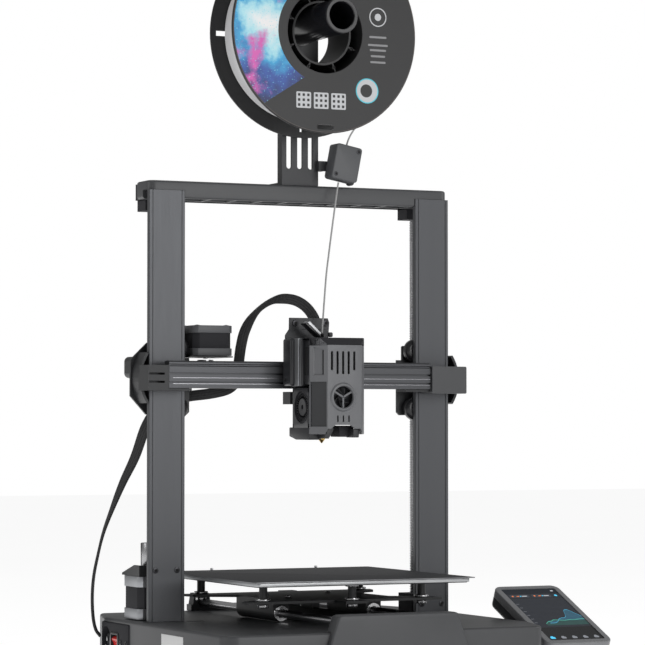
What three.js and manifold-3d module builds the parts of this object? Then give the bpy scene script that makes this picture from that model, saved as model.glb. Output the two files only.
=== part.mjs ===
// Bed-slinger FDM 3-D printer: bed on two rods, X beam between two uprights, spool on top.
// Millimetres. X to the right, Y to the back, Z up from the feet. The parts are drawn with X = 0
// midway between the uprights and Y = 0 on their front face; the whole is then moved by PLACE,
// which puts the origin under the centre of the printer's outline.
import * as THREE from 'three';
import { mergeVertices } from 'three/addons/utils/BufferGeometryUtils.js';
import initManifold from 'manifold-3d';

const wasm = await initManifold();
wasm.setup();
const { Manifold, Mesh } = wasm;

// ---------------------------------------------------------------- driving dimensions
const GAP = 0.3;
const PLACE = [-32.8, 31, 0];
const BASE = { front: -206, back: 151, bottom: 4, top: 59.15, edge: 3, wall: 3, x: 174 };
// Plan of the base: [x, y, corner radius], anticlockwise from the front left corner.
const BASE_PLAN = [
  [-174, -206, 16], [157, -206, 11], [174, -148, 20], [174, 94, 20], [157, 151, 9],
  [-157, 151, 9], [-174, 94, 20],
];
const FEET = [[-150, -180], [137, -180], [-145, 122], [145, 122]];
const NOSE = { front: -213, hoodBack: -196, top: 75.4, halfTop: 62.2, slope: 0.332, bottom: 12 };
const UPRIGHT = { x: 146, half: 19, flange: 5, web: 6, depth: 16.5, top: 480.5 };
const BEAM_TOP = { x: 165, front: 1, back: 38, bottom: 472.6, top: 490 };
const SCREW = { x: 146, y: 41, r: 4, top: 486 };
const WHEEL = { r: 12, rim: 8.4, y: 10.7, half: 5.1, flat: 2.8, fromEdge: 4.85 };
const GANTRY_Z = 296.6;
const WHEEL_RISE = 29.2;
const XBEAM = {
  left: -154, right: 131.6, front: -25, mid: -13.3, back: -3.1, bottom: 286.5, ledge: 299, top: 313,
};
const XBELT = { z0: 300.5, z1: 306.5, front: -11, back: -2, r: 4.5, half: 0.6 };
const POST_A = [-124, -6.5];
const POST_B = [-84.8, 2.5];
const XMOTOR = { x: -96, y: 21.5, bottom: 318.7, top: 348.6 };
const BED = {
  halfX: 117.5, front: -145.7, back: 89.3, top: 103.5, sheet: 0.8, slabTop: 102.4, slabBottom: 98.2,
};
const CARRIAGE_Z = { bottom: 79.8, top: 82.2 };
const ROD = { x: 50, z: 68, r: 4, front: -202, back: 147 };
const YBELT = { z0: 64.2, z1: 70.2, front: -188, back: 126, r: 5, half: 0.6 };
const NOZZLE = { x: 0, y: -44.6, tip: 232.8 };
const SPOOL = { z: 637.5, r: 100, front: -53, back: 3, disc: 2.5, hole: 40.5, bore: 29.9, wound: 85 };
const TUBE = { z: 649.4, r: 17.5, bore: 13.2, front: -91, back: 4.7 };
const SENSOR = { x: 40.3, z: 512.4, w: 28.6, h: 35.5, front: -20, back: -2, tilt: 11 };
const ROCKER_TILT = -7;
const SCREEN = { x0: 182, x1: 256, backY: -61, backZ: 88.5, frontY: -173, frontZ: 39, thick: 21 };

// ---------------------------------------------------------------- materials
function finish(color, roughness, metalness = 0) {
  return new THREE.MeshStandardMaterial({ color, roughness, metalness });
}
const DARK_ANODISED = () => finish(0x55565a, 0.45, 0.6);
const SHEET_STEEL = () => finish(0x4c4d51, 0.5, 0.4);
const BLACK_PLASTIC = () => finish(0x1c1c1f, 0.6);
const GREY_PLASTIC = () => finish(0x77787c, 0.55);
const DARK_PLASTIC = () => finish(0x3a3b3f, 0.55);
const STEEL = () => finish(0xc4c6ca, 0.25, 1);
const RUBBER = () => finish(0x151515, 0.85);

// ---------------------------------------------------------------- solids
function toManifold(geometry) {
  const bare = new THREE.BufferGeometry();
  const source = geometry.index ? geometry.toNonIndexed() : geometry;
  bare.setAttribute('position', source.getAttribute('position').clone());
  const merged = mergeVertices(bare, 1e-4);
  return new Manifold(new Mesh({
    numProp: 3,
    vertProperties: new Float32Array(merged.getAttribute('position').array),
    triVerts: new Uint32Array(merged.index.array),
  }));
}

function toGeometry(solid) {
  const mesh = solid.getMesh();
  const geometry = new THREE.BufferGeometry();
  geometry.setAttribute('position', new THREE.BufferAttribute(new Float32Array(mesh.vertProperties), 3));
  geometry.setIndex(new THREE.BufferAttribute(new Uint32Array(mesh.triVerts), 1));
  geometry.computeVertexNormals();
  return geometry;
}

function box(x0, x1, y0, y1, z0, z1) {
  const geometry = new THREE.BoxGeometry(x1 - x0, y1 - y0, z1 - z0);
  geometry.translate((x0 + x1) / 2, (y0 + y1) / 2, (z0 + z1) / 2);
  return toManifold(geometry);
}

// A cylinder or cone along 'x', 'y' or 'z' from lo to hi; a and b are the other two coordinates.
function cylinder(axis, a, b, radius, lo, hi, segments = 24, radiusHi = radius) {
  const geometry = new THREE.CylinderGeometry(radiusHi, radius, hi - lo, segments);
  geometry.translate(0, (lo + hi) / 2, 0);
  return orient(geometry, axis, a, b);
}

// A turned solid: profile is a list of [radius, position along the axis], closed or on the axis.
function turned(axis, a, b, profile, segments = 32) {
  const points = profile.map(([r, t]) => new THREE.Vector2(r, t));
  return orient(new THREE.LatheGeometry(points, segments), axis, a, b);
}

function orient(geometry, axis, a, b) {
  if (axis === 'x') {
    geometry.rotateZ(-Math.PI / 2);
    geometry.translate(0, a, b);
  } else if (axis === 'y') {
    geometry.translate(a, 0, -b);
    geometry.applyMatrix4(new THREE.Matrix4().makeBasis(
      new THREE.Vector3(1, 0, 0), new THREE.Vector3(0, 1, 0), new THREE.Vector3(0, 0, -1)));
    flip(geometry);
  } else {
    geometry.rotateX(Math.PI / 2);
    geometry.translate(a, b, 0);
  }
  return toManifold(geometry);
}

function flip(geometry) {
  const source = geometry.index;
  for (let i = 0; i < source.count; i += 3) {
    const second = source.getX(i + 1);
    source.setX(i + 1, source.getX(i + 2));
    source.setX(i + 2, second);
  }
}

// An outline of [u, v] points pushed along the third axis: 'xy' goes up Z, 'xz' along Y, 'yz' along X.
function prism(plane, outline, lo, hi) {
  const shape = new THREE.Shape(outline.map(([u, v]) => new THREE.Vector2(u, v)));
  return extrude(plane, shape, lo, hi);
}

function extrude(plane, shape, lo, hi) {
  const options = { depth: hi - lo, bevelEnabled: false, curveSegments: 5 };
  const geometry = new THREE.ExtrudeGeometry(shape, options);
  if (plane === 'xy') {
    geometry.translate(0, 0, lo);
  } else if (plane === 'xz') {
    geometry.rotateX(Math.PI / 2);
    geometry.translate(0, hi, 0);
  } else {
    geometry.applyMatrix4(new THREE.Matrix4().makeBasis(
      new THREE.Vector3(0, 1, 0), new THREE.Vector3(0, 0, 1), new THREE.Vector3(1, 0, 0)));
    geometry.translate(lo, 0, 0);
  }
  return toManifold(geometry);
}

function roundedShape(u0, u1, v0, v1, r) {
  const shape = new THREE.Shape();
  shape.moveTo(u0 + r, v0);
  shape.lineTo(u1 - r, v0);
  shape.absarc(u1 - r, v0 + r, r, -Math.PI / 2, 0, false);
  shape.lineTo(u1, v1 - r);
  shape.absarc(u1 - r, v1 - r, r, 0, Math.PI / 2, false);
  shape.lineTo(u0 + r, v1);
  shape.absarc(u0 + r, v1 - r, r, Math.PI / 2, Math.PI, false);
  shape.lineTo(u0, v0 + r);
  shape.absarc(u0 + r, v0 + r, r, Math.PI, 1.5 * Math.PI, false);
  return shape;
}

function roundedPrism(plane, u0, u1, v0, v1, r, lo, hi) {
  return extrude(plane, roundedShape(u0, u1, v0, v1, r), lo, hi);
}

// A plan moved inwards by inset, with its corners rounded, as a shape.
function planShape(plan, inset) {
  const shape = new THREE.Shape();
  plan.forEach(([x, y, r], i) => {
    const before = plan[(i + plan.length - 1) % plan.length];
    const after = plan[(i + 1) % plan.length];
    const inWay = new THREE.Vector2(x - before[0], y - before[1]).normalize();
    const outWay = new THREE.Vector2(after[0] - x, after[1] - y).normalize();
    const turn = Math.acos(THREE.MathUtils.clamp(inWay.dot(outWay), -1, 1));
    const reach = r * Math.tan(turn / 2);
    const centre = new THREE.Vector2(x - inWay.x * reach - inWay.y * r, y - inWay.y * reach + inWay.x * r);
    const start = Math.atan2(-inWay.x, inWay.y);
    shape.absarc(centre.x, centre.y, r - inset, start, start + turn, false);
  });
  return shape;
}

// The plan pushed up from z0 to z1, with its upper edge rolled over by edge.
function planSlab(plan, z0, z1, edge) {
  const geometry = new THREE.ExtrudeGeometry(planShape(plan, edge), {
    depth: z1 - z0 + edge, bevelEnabled: true, bevelThickness: edge, bevelSize: edge, bevelSegments: 3,
    curveSegments: 5,
  });
  geometry.translate(0, 0, z0 - edge);
  return toManifold(geometry).trimByPlane([0, 0, 1], z0);
}

// A tube of the given radius along hand-placed points.
function cord(points, radius, steps, sides = 8) {
  const path = new THREE.CatmullRomCurve3(points.map((p) => new THREE.Vector3(...p)));
  const ring = [];
  for (let i = 0; i < sides; i += 1) {
    const angle = (i / sides) * 2 * Math.PI;
    ring.push(new THREE.Vector2(radius * Math.cos(angle), radius * Math.sin(angle)));
  }
  return toManifold(new THREE.ExtrudeGeometry(new THREE.Shape(ring), { steps, extrudePath: path }));
}

function join(...solids) {
  return solids.reduce((sum, solid) => sum.add(solid));
}

function less(solid, ...cuts) {
  return cuts.reduce((rest, cut) => rest.subtract(cut), solid);
}

function both(make) {
  return [make(-1), make(1)];
}

// Box with its X limits given for the right side and mirrored when side is -1.
function sideBox(side, x0, x1, y0, y1, z0, z1) {
  return side > 0 ? box(x0, x1, y0, y1, z0, z1) : box(-x1, -x0, y0, y1, z0, z1);
}

function sidePrism(side, outline, y0, y1) {
  const points = outline.map(([x, z]) => [side * x, z]);
  return prism('xz', side > 0 ? points : points.reverse(), y0, y1);
}

// ---------------------------------------------------------------- belts
// Points of an arc from angle a0 to a1 in degrees, in either direction.
function arc(cx, cy, r, a0, a1, steps = 8) {
  const points = [];
  for (let i = 0; i <= steps; i += 1) {
    const angle = THREE.MathUtils.degToRad(a0 + ((a1 - a0) * i) / steps);
    points.push([cx + r * Math.cos(angle), cy + r * Math.sin(angle)]);
  }
  return points;
}

// A closed band of the given half thickness along a closed centre line.
function band(plane, centre, half, lo, hi) {
  const side = (offset) => centre.map(([u, v], i) => {
    const before = centre[(i + centre.length - 1) % centre.length];
    const after = centre[(i + 1) % centre.length];
    const length = Math.hypot(after[0] - before[0], after[1] - before[1]);
    return [u + (offset * (after[1] - before[1])) / length, v - (offset * (after[0] - before[0])) / length];
  });
  const one = prism(plane, side(half), lo, hi);
  const two = prism(plane, side(-half), lo, hi);
  return one.volume() > two.volume() ? one.subtract(two) : two.subtract(one);
}

// ---------------------------------------------------------------- base
function baseShell() {
  const { x, bottom, top, edge, wall } = BASE;
  const outer = planSlab(BASE_PLAN, bottom, top - edge, edge);
  const inner = extrude('xy', planShape(BASE_PLAN, wall), bottom - 1, top - wall);
  const idler = join(
    cylinder('z', 0, YBELT.front, 3.6, top - 1, YBELT.z1 + 2.2, 16),
    cylinder('z', 0, YBELT.front, 6, top - 1, top + 2.6, 16),
  );
  const inlet = box(-x - 5, -x + 8, 26.7, 98.3, 17.7, 55.3);
  const shaft = cylinder('z', 0, YBELT.back, 11.4, top - 10, top + 5, 24);
  return less(join(outer.subtract(inner), idler), inlet, shaft);
}

function baseFloor() {
  const { bottom, wall } = BASE;
  const plate = extrude('xy', planShape(BASE_PLAN, wall + GAP), bottom + 0.2, bottom + 2.2);
  const feet = FEET.map(([x, y]) => cylinder('z', x, y, 10, 0, bottom + 1, 20));
  return join(plate, ...feet);
}

function nose() {
  const { front, hoodBack, top, halfTop, slope, bottom } = NOSE;
  const low = halfTop + slope * (top - bottom);
  const round = 3;
  const shape = new THREE.Shape();
  shape.moveTo(-low, bottom);
  shape.lineTo(low, bottom);
  shape.lineTo(halfTop + slope * round, top - round);
  shape.quadraticCurveTo(halfTop, top, halfTop - round, top);
  shape.lineTo(-halfTop + round, top);
  shape.quadraticCurveTo(-halfTop, top, -halfTop - slope * round, top - round);
  const block = extrude('xz', shape, front, hoodBack);
  const rods = both((s) => cylinder('y', s * ROD.x, ROD.z, ROD.r + GAP, ROD.front - GAP, hoodBack + 1, 16));
  return less(block, box(-110, 110, BASE.front - GAP, hoodBack + 1, 0, BASE.top + GAP), ...rods);
}

function inlet() {
  const body = box(-175.5, -150, 27, 98, 18, 55);
  const socket = roundedPrism('yz', 76, 96, 22.5, 49.5, 3, -176, -159.5);
  const rocker = box(-176, -160, 54.7, 70.3, 22.7, 43.3);
  return less(body, socket, rocker);
}

function rocker() {
  const outline = [[55, 23], [70, 23], [70, 43], [55, 43]];
  const block = prism('yz', outline, -174.8, -163);
  const dish = cylinder('y', -184.2, 33, 11, 54, 71, 24);
  return block.subtract(dish).intersect(cylinder('y', -168, 33, 9.9, 54, 71, 32))
    .translate([168, 0, -33]).rotate([0, ROCKER_TILT, 0]).translate([-168, 0, 33]);
}

function screenCase() {
  const run = SCREEN.backY - SCREEN.frontY;
  const rise = SCREEN.backZ - SCREEN.frontZ;
  const length = Math.hypot(run, rise);
  const tilt = Math.atan2(rise, run);
  const slabShape = roundedPrism('xy', SCREEN.x0, SCREEN.x1, 0, length, 9, -SCREEN.thick, 0);
  const recess = roundedPrism('xy', SCREEN.x0 + 3, SCREEN.x1 - 3, 3, length - 3, 6, -1.6, 1);
  const place = (solid) => solid.rotate([THREE.MathUtils.radToDeg(tilt), 0, 0])
    .translate([0, SCREEN.frontY, SCREEN.frontZ]);
  const arm = prism('yz', [[-128, 30], [-92, 30], [-92, 58], [-128, 42]], BASE.x + GAP, SCREEN.x0 + 20);
  return join(place(slabShape.subtract(recess)), arm);
}

function screenGlass() {
  const run = SCREEN.backY - SCREEN.frontY;
  const rise = SCREEN.backZ - SCREEN.frontZ;
  const length = Math.hypot(run, rise);
  const pane = roundedPrism('xy', SCREEN.x0 + 3.3, SCREEN.x1 - 3.3, 3.3, length - 3.3, 5.7, -1.3, -0.1);
  return pane.rotate([THREE.MathUtils.radToDeg(Math.atan2(rise, run)), 0, 0])
    .translate([0, SCREEN.frontY, SCREEN.frontZ]);
}

// ---------------------------------------------------------------- frame
function upright(side) {
  const { x, half, flange, web, depth, top } = UPRIGHT;
  const groove = (at) => [[at - 0.6, 0], [at - 0.6, 0.7], [at + 0.6, 0.7], [at + 0.6, 0]];
  const outline = [
    [x - half, 0.6], [x - half + 0.6, 0],
    ...groove(x - half + 3.6), ...groove(x + half - 3.6),
    [x + half - 0.6, 0], [x + half, 0.6], [x + half, flange],
    [x + web, flange], [x + web, WHEEL.y - 5.5], [x + 1.9, WHEEL.y - 3.1], [x + 1.9, WHEEL.y + 3.1],
    [x + web, WHEEL.y + 5.5], [x + web, depth],
    [x - web, depth], [x - web, WHEEL.y + 5.5], [x - 1.9, WHEEL.y + 3.1], [x - 1.9, WHEEL.y - 3.1],
    [x - web, WHEEL.y - 5.5], [x - web, flange], [x - half, flange],
  ];
  const points = outline.map(([u, v]) => [side * u, v]);
  return prism('xy', side > 0 ? points : points.reverse(), BASE.top + GAP, top);
}

function topBeam() {
  const { x, front, back, bottom, top } = BEAM_TOP;
  const body = roundedPrism('xy', -x, x, front, back, 6, bottom, top);
  const seats = both((s) => sideBox(s, 126.7, 170, 0, UPRIGHT.depth + GAP, bottom - 1, UPRIGHT.top + GAP));
  const channel = box(-158, 158, 31, back + 1, bottom - 1, top - 3);
  const pockets = [];
  for (let i = 0; i < 9; i += 1) {
    const left = -124 + i * 27.6;
    pockets.push(box(left, left + 25, front + 3, 27.6, bottom - 1, bottom + 6));
  }
  return less(body, ...seats, channel, ...pockets);
}

function zBeltCover() {
  const back = BEAM_TOP.back;
  const outer = box(-158, 158, back + GAP, 53, 473, 489);
  const inner = box(-156, 156, back - 1, 51.4, 472, 487.2);
  const holders = both((s) => less(
    sideBox(s, 134, 156, 32, 53, 462, 472.4),
    cylinder('z', s * SCREW.x, SCREW.y, SCREW.r + 0.4, 460, 474, 20),
  ));
  const tabs = both((s) => sideBox(s, 134, 156, 51.4, 53, 462, 474));
  return join(outer.subtract(inner), ...holders, ...tabs);
}

function zBelt() {
  const r = 7.3 + YBELT.half;
  const path = [...arc(SCREW.x, SCREW.y, r, -90, 90), ...arc(-SCREW.x, SCREW.y, r, 90, 270)];
  return band('xy', path, YBELT.half, 477.4, 483.4);
}

function leadScrew(side) {
  const low = side < 0 ? 123.2 : 67;
  return turned('z', side * SCREW.x, SCREW.y, [
    [0, low], [SCREW.r, low], [SCREW.r, 474.2], [8.4, 474.2], [8.4, 475.6], [7, 475.6],
    [7, 485], [SCREW.r, 485], [SCREW.r, SCREW.top], [0, SCREW.top],
  ], 20);
}

function coupler() {
  return turned('z', -SCREW.x, SCREW.y, [
    [2.8, 111.6], [10, 111.6], [10, 134.5], [SCREW.r + GAP, 134.5], [SCREW.r + GAP, 122],
    [2.8, 122], [2.8, 111.6],
  ], 24);
}

function stepper(x, y, low, high, shaftTop) {
  const half = 21.15;
  const c = 4;
  const outline = (h, k) => [
    [x - h + k, y - h], [x + h - k, y - h], [x + h, y - h + k], [x + h, y + h - k],
    [x + h - k, y + h], [x - h + k, y + h], [x - h, y + h - k], [x - h, y - h + k],
  ];
  const cap = (high - low) * 0.23;
  const parts = [
    prism('xy', outline(half, c), low, low + cap),
    prism('xy', outline(half - 0.7, c + 1.4), low + cap - 0.1, high - cap + 0.1),
    prism('xy', outline(half, c), high - cap, high),
  ];
  const up = shaftTop > high;
  parts.push(cylinder('z', x, y, 10.8, up ? high - 0.5 : low - 1.1, up ? high + 1.4 : low + 0.5, 24));
  parts.push(cylinder('z', x, y, 2.5, up ? high : shaftTop, up ? shaftTop : low, 16));
  return join(...parts);
}

function zMotorBracket() {
  const { x, y } = SCREW;
  const plate = box(-x - 22, -x + 22, UPRIGHT.depth + GAP, y + 21, 102.6, 104.8);
  const wall = box(-x - 22, -x + 22, UPRIGHT.depth + GAP, UPRIGHT.depth + 2.8, 102.6, 113.4);
  const rib = prism('yz', [[UPRIGHT.depth + GAP, 103], [y + 21, 103], [y + 21, 104.6],
    [UPRIGHT.depth + 14, 113.4],
    [UPRIGHT.depth + GAP, 113.4]], -x - 22, -x - 20);
  return less(join(plate, wall, rib), cylinder('z', -x, y, 11.2, 100, 108, 24));
}

function screwFoot() {
  const block = roundedPrism('xy', 133, 158, UPRIGHT.depth + GAP, 52, 3, BASE.top + GAP, 78);
  return less(block, cylinder('z', SCREW.x, SCREW.y, SCREW.r + GAP, 66, 80, 20));
}

// ---------------------------------------------------------------- spool and filament
function spoolBracket() {
  const plate = box(-20, 20, 5, 7.5, BEAM_TOP.top + GAP, 668);
  const sides = both((s) => sideBox(s, 17.6, 20, 5, 16, BEAM_TOP.top + GAP, 668));
  const foot = box(-20, 20, 5, 36, BEAM_TOP.top + GAP, BEAM_TOP.top + 3);
  const slots = [];
  for (let i = -1; i <= 1; i += 1) {
    const at = -0.4 + i * 11.9;
    slots.push(roundedPrism('xz', at - 2.85, at + 2.85, 506.7, 612, 2.8, 4, 8));
  }
  const arm = join(
    box(17.6, 24, -1.7, 8, 505, 515),
    box(17.6, 50, -1.7, 1, 505, 515),
  );
  return join(less(join(plate, ...sides, foot), ...slots), arm);
}

function spoolTube() {
  const { z, r, bore, front, back } = TUBE;
  return turned('y', 0, z, [
    [0, back - 3], [bore, back - 3], [bore, front], [r, front], [r, back - 1.4], [r + 1.5, back - 1.4],
    [r + 1.5, back], [0, back],
  ], 32);
}

function spool() {
  const { z, r, front, back, disc, hole, bore } = SPOOL;
  const shell = turned('y', 0, z, [
    [hole, front], [r, front], [r, front + disc], [hole + 2, front + disc], [hole + 2, back - disc],
    [r, back - disc], [r, back], [bore, back], [bore, front + 8], [bore + 2, front + 8],
    [bore + 2, back - disc], [hole, back - disc], [hole, front],
  ], 64);
  const ribs = [];
  for (let i = 0; i < 8; i += 1) {
    ribs.push(box(bore + 1, hole + 1, front + 9, back - 1, -0.7, 0.7)
      .rotate([0, 22.5 + i * 45, 0]).translate([0, 0, z]));
  }
  const slots = [0, 90, 180, 270].map((angle) => box(82, 94, back - disc - 1, back + 1, -2.6, 2.6)
    .rotate([0, angle, 0]).translate([0, 0, z]));
  return less(join(shell, ...ribs), ...slots);
}

function winding() {
  const { z, front, back, disc, hole, wound } = SPOOL;
  const y0 = front + disc + GAP;
  const y1 = back - disc - GAP;
  const inside = hole + 2 + GAP;
  return turned('y', 0, z, [[inside, y0], [wound, y0], [wound, y1], [inside, y1], [inside, y0]], 64);
}

function sensorBox() {
  const { x, z, w, h, front, back, tilt } = SENSOR;
  const shape = roundedShape(-w / 2, w / 2, -h / 2, h / 2, 3);
  const block = extrude('xz', shape, front, back);
  const bore = cylinder('z', -0.6, -11, 1.6, -h, h, 12);
  return block.subtract(bore).rotate([0, tilt, 0]).translate([x, 0, z]);
}

const FILAMENT_UPPER = [
  [43.9, -11, 531.2], [45.4, -13.5, 538], [48.6, -17, 545.5], [54.5, -21.5, 554.5], [62, -24.5, 566],
  [69, -25, 579], [74.2, -25, 593.4],
];
const FILAMENT_LOWER = [
  [34.7, -11, 493.2], [31.6, -13.3, 481], [27.6, -16.8, 465], [21.5, -22.1, 440.5], [15.6, -27.4, 416.2],
  [11.8, -30.9, 400], [7.5, -35.8, 378], [3.5, -40.6, 356.2], [0.4, -44.3, 338], [0, -44.6, 326],
];

// ---------------------------------------------------------------- gantry
function xBeam() {
  const { left, right, front, mid, back, bottom, ledge, top } = XBEAM;
  const slot = (z) => [[front, z - 1], [front + 3, z - 1], [front + 3, z + 1], [front, z + 1]];
  return prism('yz', [
    [front, bottom], ...slot(291.9), ...slot(300.5), [front, 307.4], [front + 1.4, 308.3],
    [front + 1.4, 309.2],
    [front + 0.1, 310], [front + 0.2, 311.4], [front + 1.3, 312.7], [front + 2.4, top],
    [mid, top], [mid, ledge], [back, ledge], [back, bottom],
  ].reverse(), left, right);
}

function wheelGuard(side) {
  const rise = 24.8;
  const sag = 7.5;
  const r = (rise * rise + sag * sag) / (2 * sag);
  const cx = 176 - r;
  const reach = THREE.MathUtils.radToDeg(Math.asin(rise / r));
  const outer = arc(cx, GANTRY_Z, r, -reach, reach, 12);
  const inner = arc(cx, GANTRY_Z, r - 2.5, reach, -reach, 12);
  const outline = [...outer, ...inner];
  return sidePrism(side, outline, -2.8, 18);
}

function nutArm(side) {
  const { x, y } = SCREW;
  const arm = side < 0
    ? box(-162, -132, 20, y + 11, 289, 293)
    : box(132, 162, 20, y + 11, 289, 293);
  const boss = cylinder('z', side * x, y, 10, 280, 296, 20);
  return less(join(arm, boss), cylinder('z', side * x, y, SCREW.r + 0.4, 275, 300, 20));
}

function carriagePlate(side) {
  const outline = [
    [118, 260.4], [160.7, 260.8], [177.2, 278.8], [177.2, 314.4], [159.7, 331.2], [122, 331.2],
    [121, 330.2], [121, 316.6], [115, 316.6], [115, 263.4],
  ];
  return sidePrism(side, outline, 17.4, 20.4);
}

function leftCarriage() {
  const fork = less(
    box(-176, XBEAM.left - GAP, XBEAM.front, -2.8, 283.9, 308.6),
    box(-175, -158.7, XBEAM.front - 1, XBEAM.front + 9, 299.2, 301.3),
    box(-175, -158.7, XBEAM.front - 1, XBEAM.front + 9, 291.3, 293.4),
  );
  const web = join(
    box(-176, -129, -2.8, -0.4, 283.9, 299),
    box(-155, -129, -22, -0.4, 283.9, 286.2),
  );
  const motorPlate = less(
    join(box(-124, -74, 17.4, 45, 317.1, 318.4), box(-120, -74, 4, 18, 317.1, 318.4)),
    cylinder('z', XMOTOR.x, XMOTOR.y, 11.2, 315, 322, 24),
  );
  const motorWall = box(-123.4, -121, 17.4, 45, 300, 345);
  const cover = roundedPrism('xz', -175.7, -159, 296.6, 317.6, 5, 20, 38);
  return join(carriagePlate(-1), wheelGuard(-1), nutArm(-1), fork, web, motorPlate, motorWall, cover);
}

function rightCarriage() {
  const web = join(
    box(105, 176, -2.8, -0.4, 283.9, 299),
    box(105, 131.4, -22, -0.4, 283.9, 286.2),
  );
  return join(carriagePlate(1), wheelGuard(1), nutArm(1), web);
}

function tensionerBox() {
  const block = roundedPrism('xz', 131.9, 171, 282.2, 309.6, 1.5, -28, -3.1);
  const belt = box(131, 158, -13.2, -3, 299.2, 307.6);
  const pin = cylinder('z', 150, -6.5, 1.8, 299, 308, 12);
  return join(less(block, belt), pin);
}

function xIdler() {
  return turned('z', 150, -6.5, [
    [2.1, 299.6], [4.7, 299.6], [4.7, 300.2], [3.6, 300.2], [3.6, 306.8], [4.7, 306.8], [4.7, 307.3],
    [2.1, 307.3], [2.1, 299.6],
  ], 20);
}

function xPulley() {
  return turned('z', XMOTOR.x, XMOTOR.y, [
    [2.8, 298.6], [7, 298.6], [7, 300.1], [5.8, 300.1], [5.8, 307.1], [8, 307.1], [8, 315],
    [2.8, 315], [2.8, 298.6],
  ], 20);
}

function beltGuide() {
  const { z1, r, half } = XBELT;
  const post = (x, y) => cylinder('z', x, y, r - half - GAP, 299.6, z1 + 1, 16);
  return join(
    box(-130, -79, -12.4, -3.3, 299.3, 300.1), box(-90, -79, -3.4, 7.4, 299.3, 300.1),
    post(...POST_A), post(...POST_B),
  );
}

function xBelt() {
  const { z0, z1, front, back, r, half } = XBELT;
  const drive = 6.7;
  const middle = (front + back) / 2;
  const gap = Math.hypot(XMOTOR.x - POST_A[0], XMOTOR.y - POST_A[1]);
  const bend = 90 + THREE.MathUtils.radToDeg(
    Math.atan2(XMOTOR.y - POST_A[1], XMOTOR.x - POST_A[0]) + Math.asin((drive - r) / gap));
  const path = [
    ...arc(150, middle, r, 90, -90),
    ...arc(POST_A[0], POST_A[1], r, 270, bend),
    ...arc(XMOTOR.x, XMOTOR.y, drive, bend, 0),
    ...arc(POST_B[0], POST_B[1], r, 180, 270),
  ];
  return band('xy', path, half, z0, z1);
}

function vWheel(x, z) {
  const { r, rim, y, half, flat } = WHEEL;
  return turned('y', x, z, [
    [2.6, y - half], [rim, y - half], [r, y - flat], [r, y + flat], [rim, y + half],
    [2.6, y + half], [2.6, y - half],
  ], 28);
}

const HARNESS_ARCH = [
  [5.2, -20.9, 349], [2.6, -20.5, 357.6], [-3, -15, 367.6], [-10.7, -8, 374], [-20.6, -1, 376.1],
  [-31, 5, 373.8],
  [-41.8, 10, 366.3], [-50.3, 13, 355.8], [-56.5, 15, 342.9], [-59.8, 16, 328.9], [-61.4, 16.8, 316],
  [-62.3, 17, 306], [-62.4, 17, 301],
];
const HARNESS_LOWER = [
  [-62.4, 17, 300.4], [-62.6, 17.4, 297], [-65, 19, 292.1], [-72.3, 22, 285.7], [-87.2, 30, 281.7],
  [-104.6, 40, 279.2],
  [-119.3, 51, 275.3], [-131.7, 60, 265.4], [-141.3, 66, 248.7], [-149.5, 74, 218.8], [-160.5, 80, 192.3],
  [-169.6, 86, 165.7], [-176.2, 92, 142.4], [-180.3, 97, 119], [-182.8, 101, 98.9], [-183.1, 104, 78.8],
  [-181.4, 106, 58.7], [-178.6, 106, 46.3], [-174.2, 106, 40],
];

// ---------------------------------------------------------------- print head
function headCarriage() {
  const bracket = [
    [21, 313.4], [14.6, 330], [16.2, 352], [14.6, 356.3], [-26.6, 356.3], [-26.8, 345],
    [-31, 339], [-31, 313.4],
  ];
  const back = join(
    box(-21, 21, -28.4, XBEAM.front - GAP, 271, 314),
    prism('xz', bracket, -28.4, XBEAM.front - GAP),
  );
  const top = box(-16, 16, -28.4, -7, 313.4, 316.2);
  const tongue = box(-8, 8, -9.8, -7, 301, 316);
  const lug = box(-26, 20, -27, -10, 271, 283.3);
  return join(back, top, tongue, lug);
}

function headCover() {
  const outer = [[-17, -93], [20, -93], [31, -76], [31, -60], [-28, -60], [-28, -76]];
  const inner = [[-15.6, -91], [18.6, -91], [28.8, -75], [28.8, -59], [-25.8, -59], [-25.8, -75]];
  const shell = less(prism('xy', outer, 241.5, 335.5), prism('xy', inner, 240, 333));
  const bevel = prism('yz', [[-94, 329], [-93, 329], [-85.8, 335.5], [-85.8, 337], [-94, 337]], -40, 40);
  const openSide = box(-30, -23, -75, -58, 240, 332);
  const sideCut = prism('xz', [[-30, 240], [-19.5, 240], [-23.5, 247], [-23.5, 291], [-30, 294]], -77, -59);
  const mouth = prism('xz', [[-19, 240], [22, 240], [19, 247], [13, 247], [8, 250.6], [-8, 250.6],
    [-13, 247],    [-16.5, 247]], -94, -84);
  const slots = [];
  for (let i = -2; i <= 2; i += 1) {
    const low = Math.abs(i) === 2 ? 303.5 : 299.8;
    slots.push(box(i * 6 - 1.15, i * 6 + 1.15, -94, -90, low, 322.2));
  }
  for (let i = -1; i <= 1; i += 1) {
    slots.push(box(0.3 + i * 6 - 0.8, 0.3 + i * 6 + 0.8, -94, -90, 253.4, 260));
  }
  const window = prism('yz', [[-88.5, 300], [-79.5, 300], [-79.5, 326], [-88.5, 323]], -28, -17);
  const fan = cylinder('y', 0, 277.6, 10.6, -94, -90, 32);
  const spokes = [30, 150, 270].map((angle) => box(0, 11, -92.6, -91.4, -0.8, 0.8)
    .rotate([0, -angle, 0]).translate([0, 0, 277.6]));
  return join(less(shell, bevel, openSide, sideCut, mouth, ...slots, window, fan), ...spokes);
}

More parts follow.
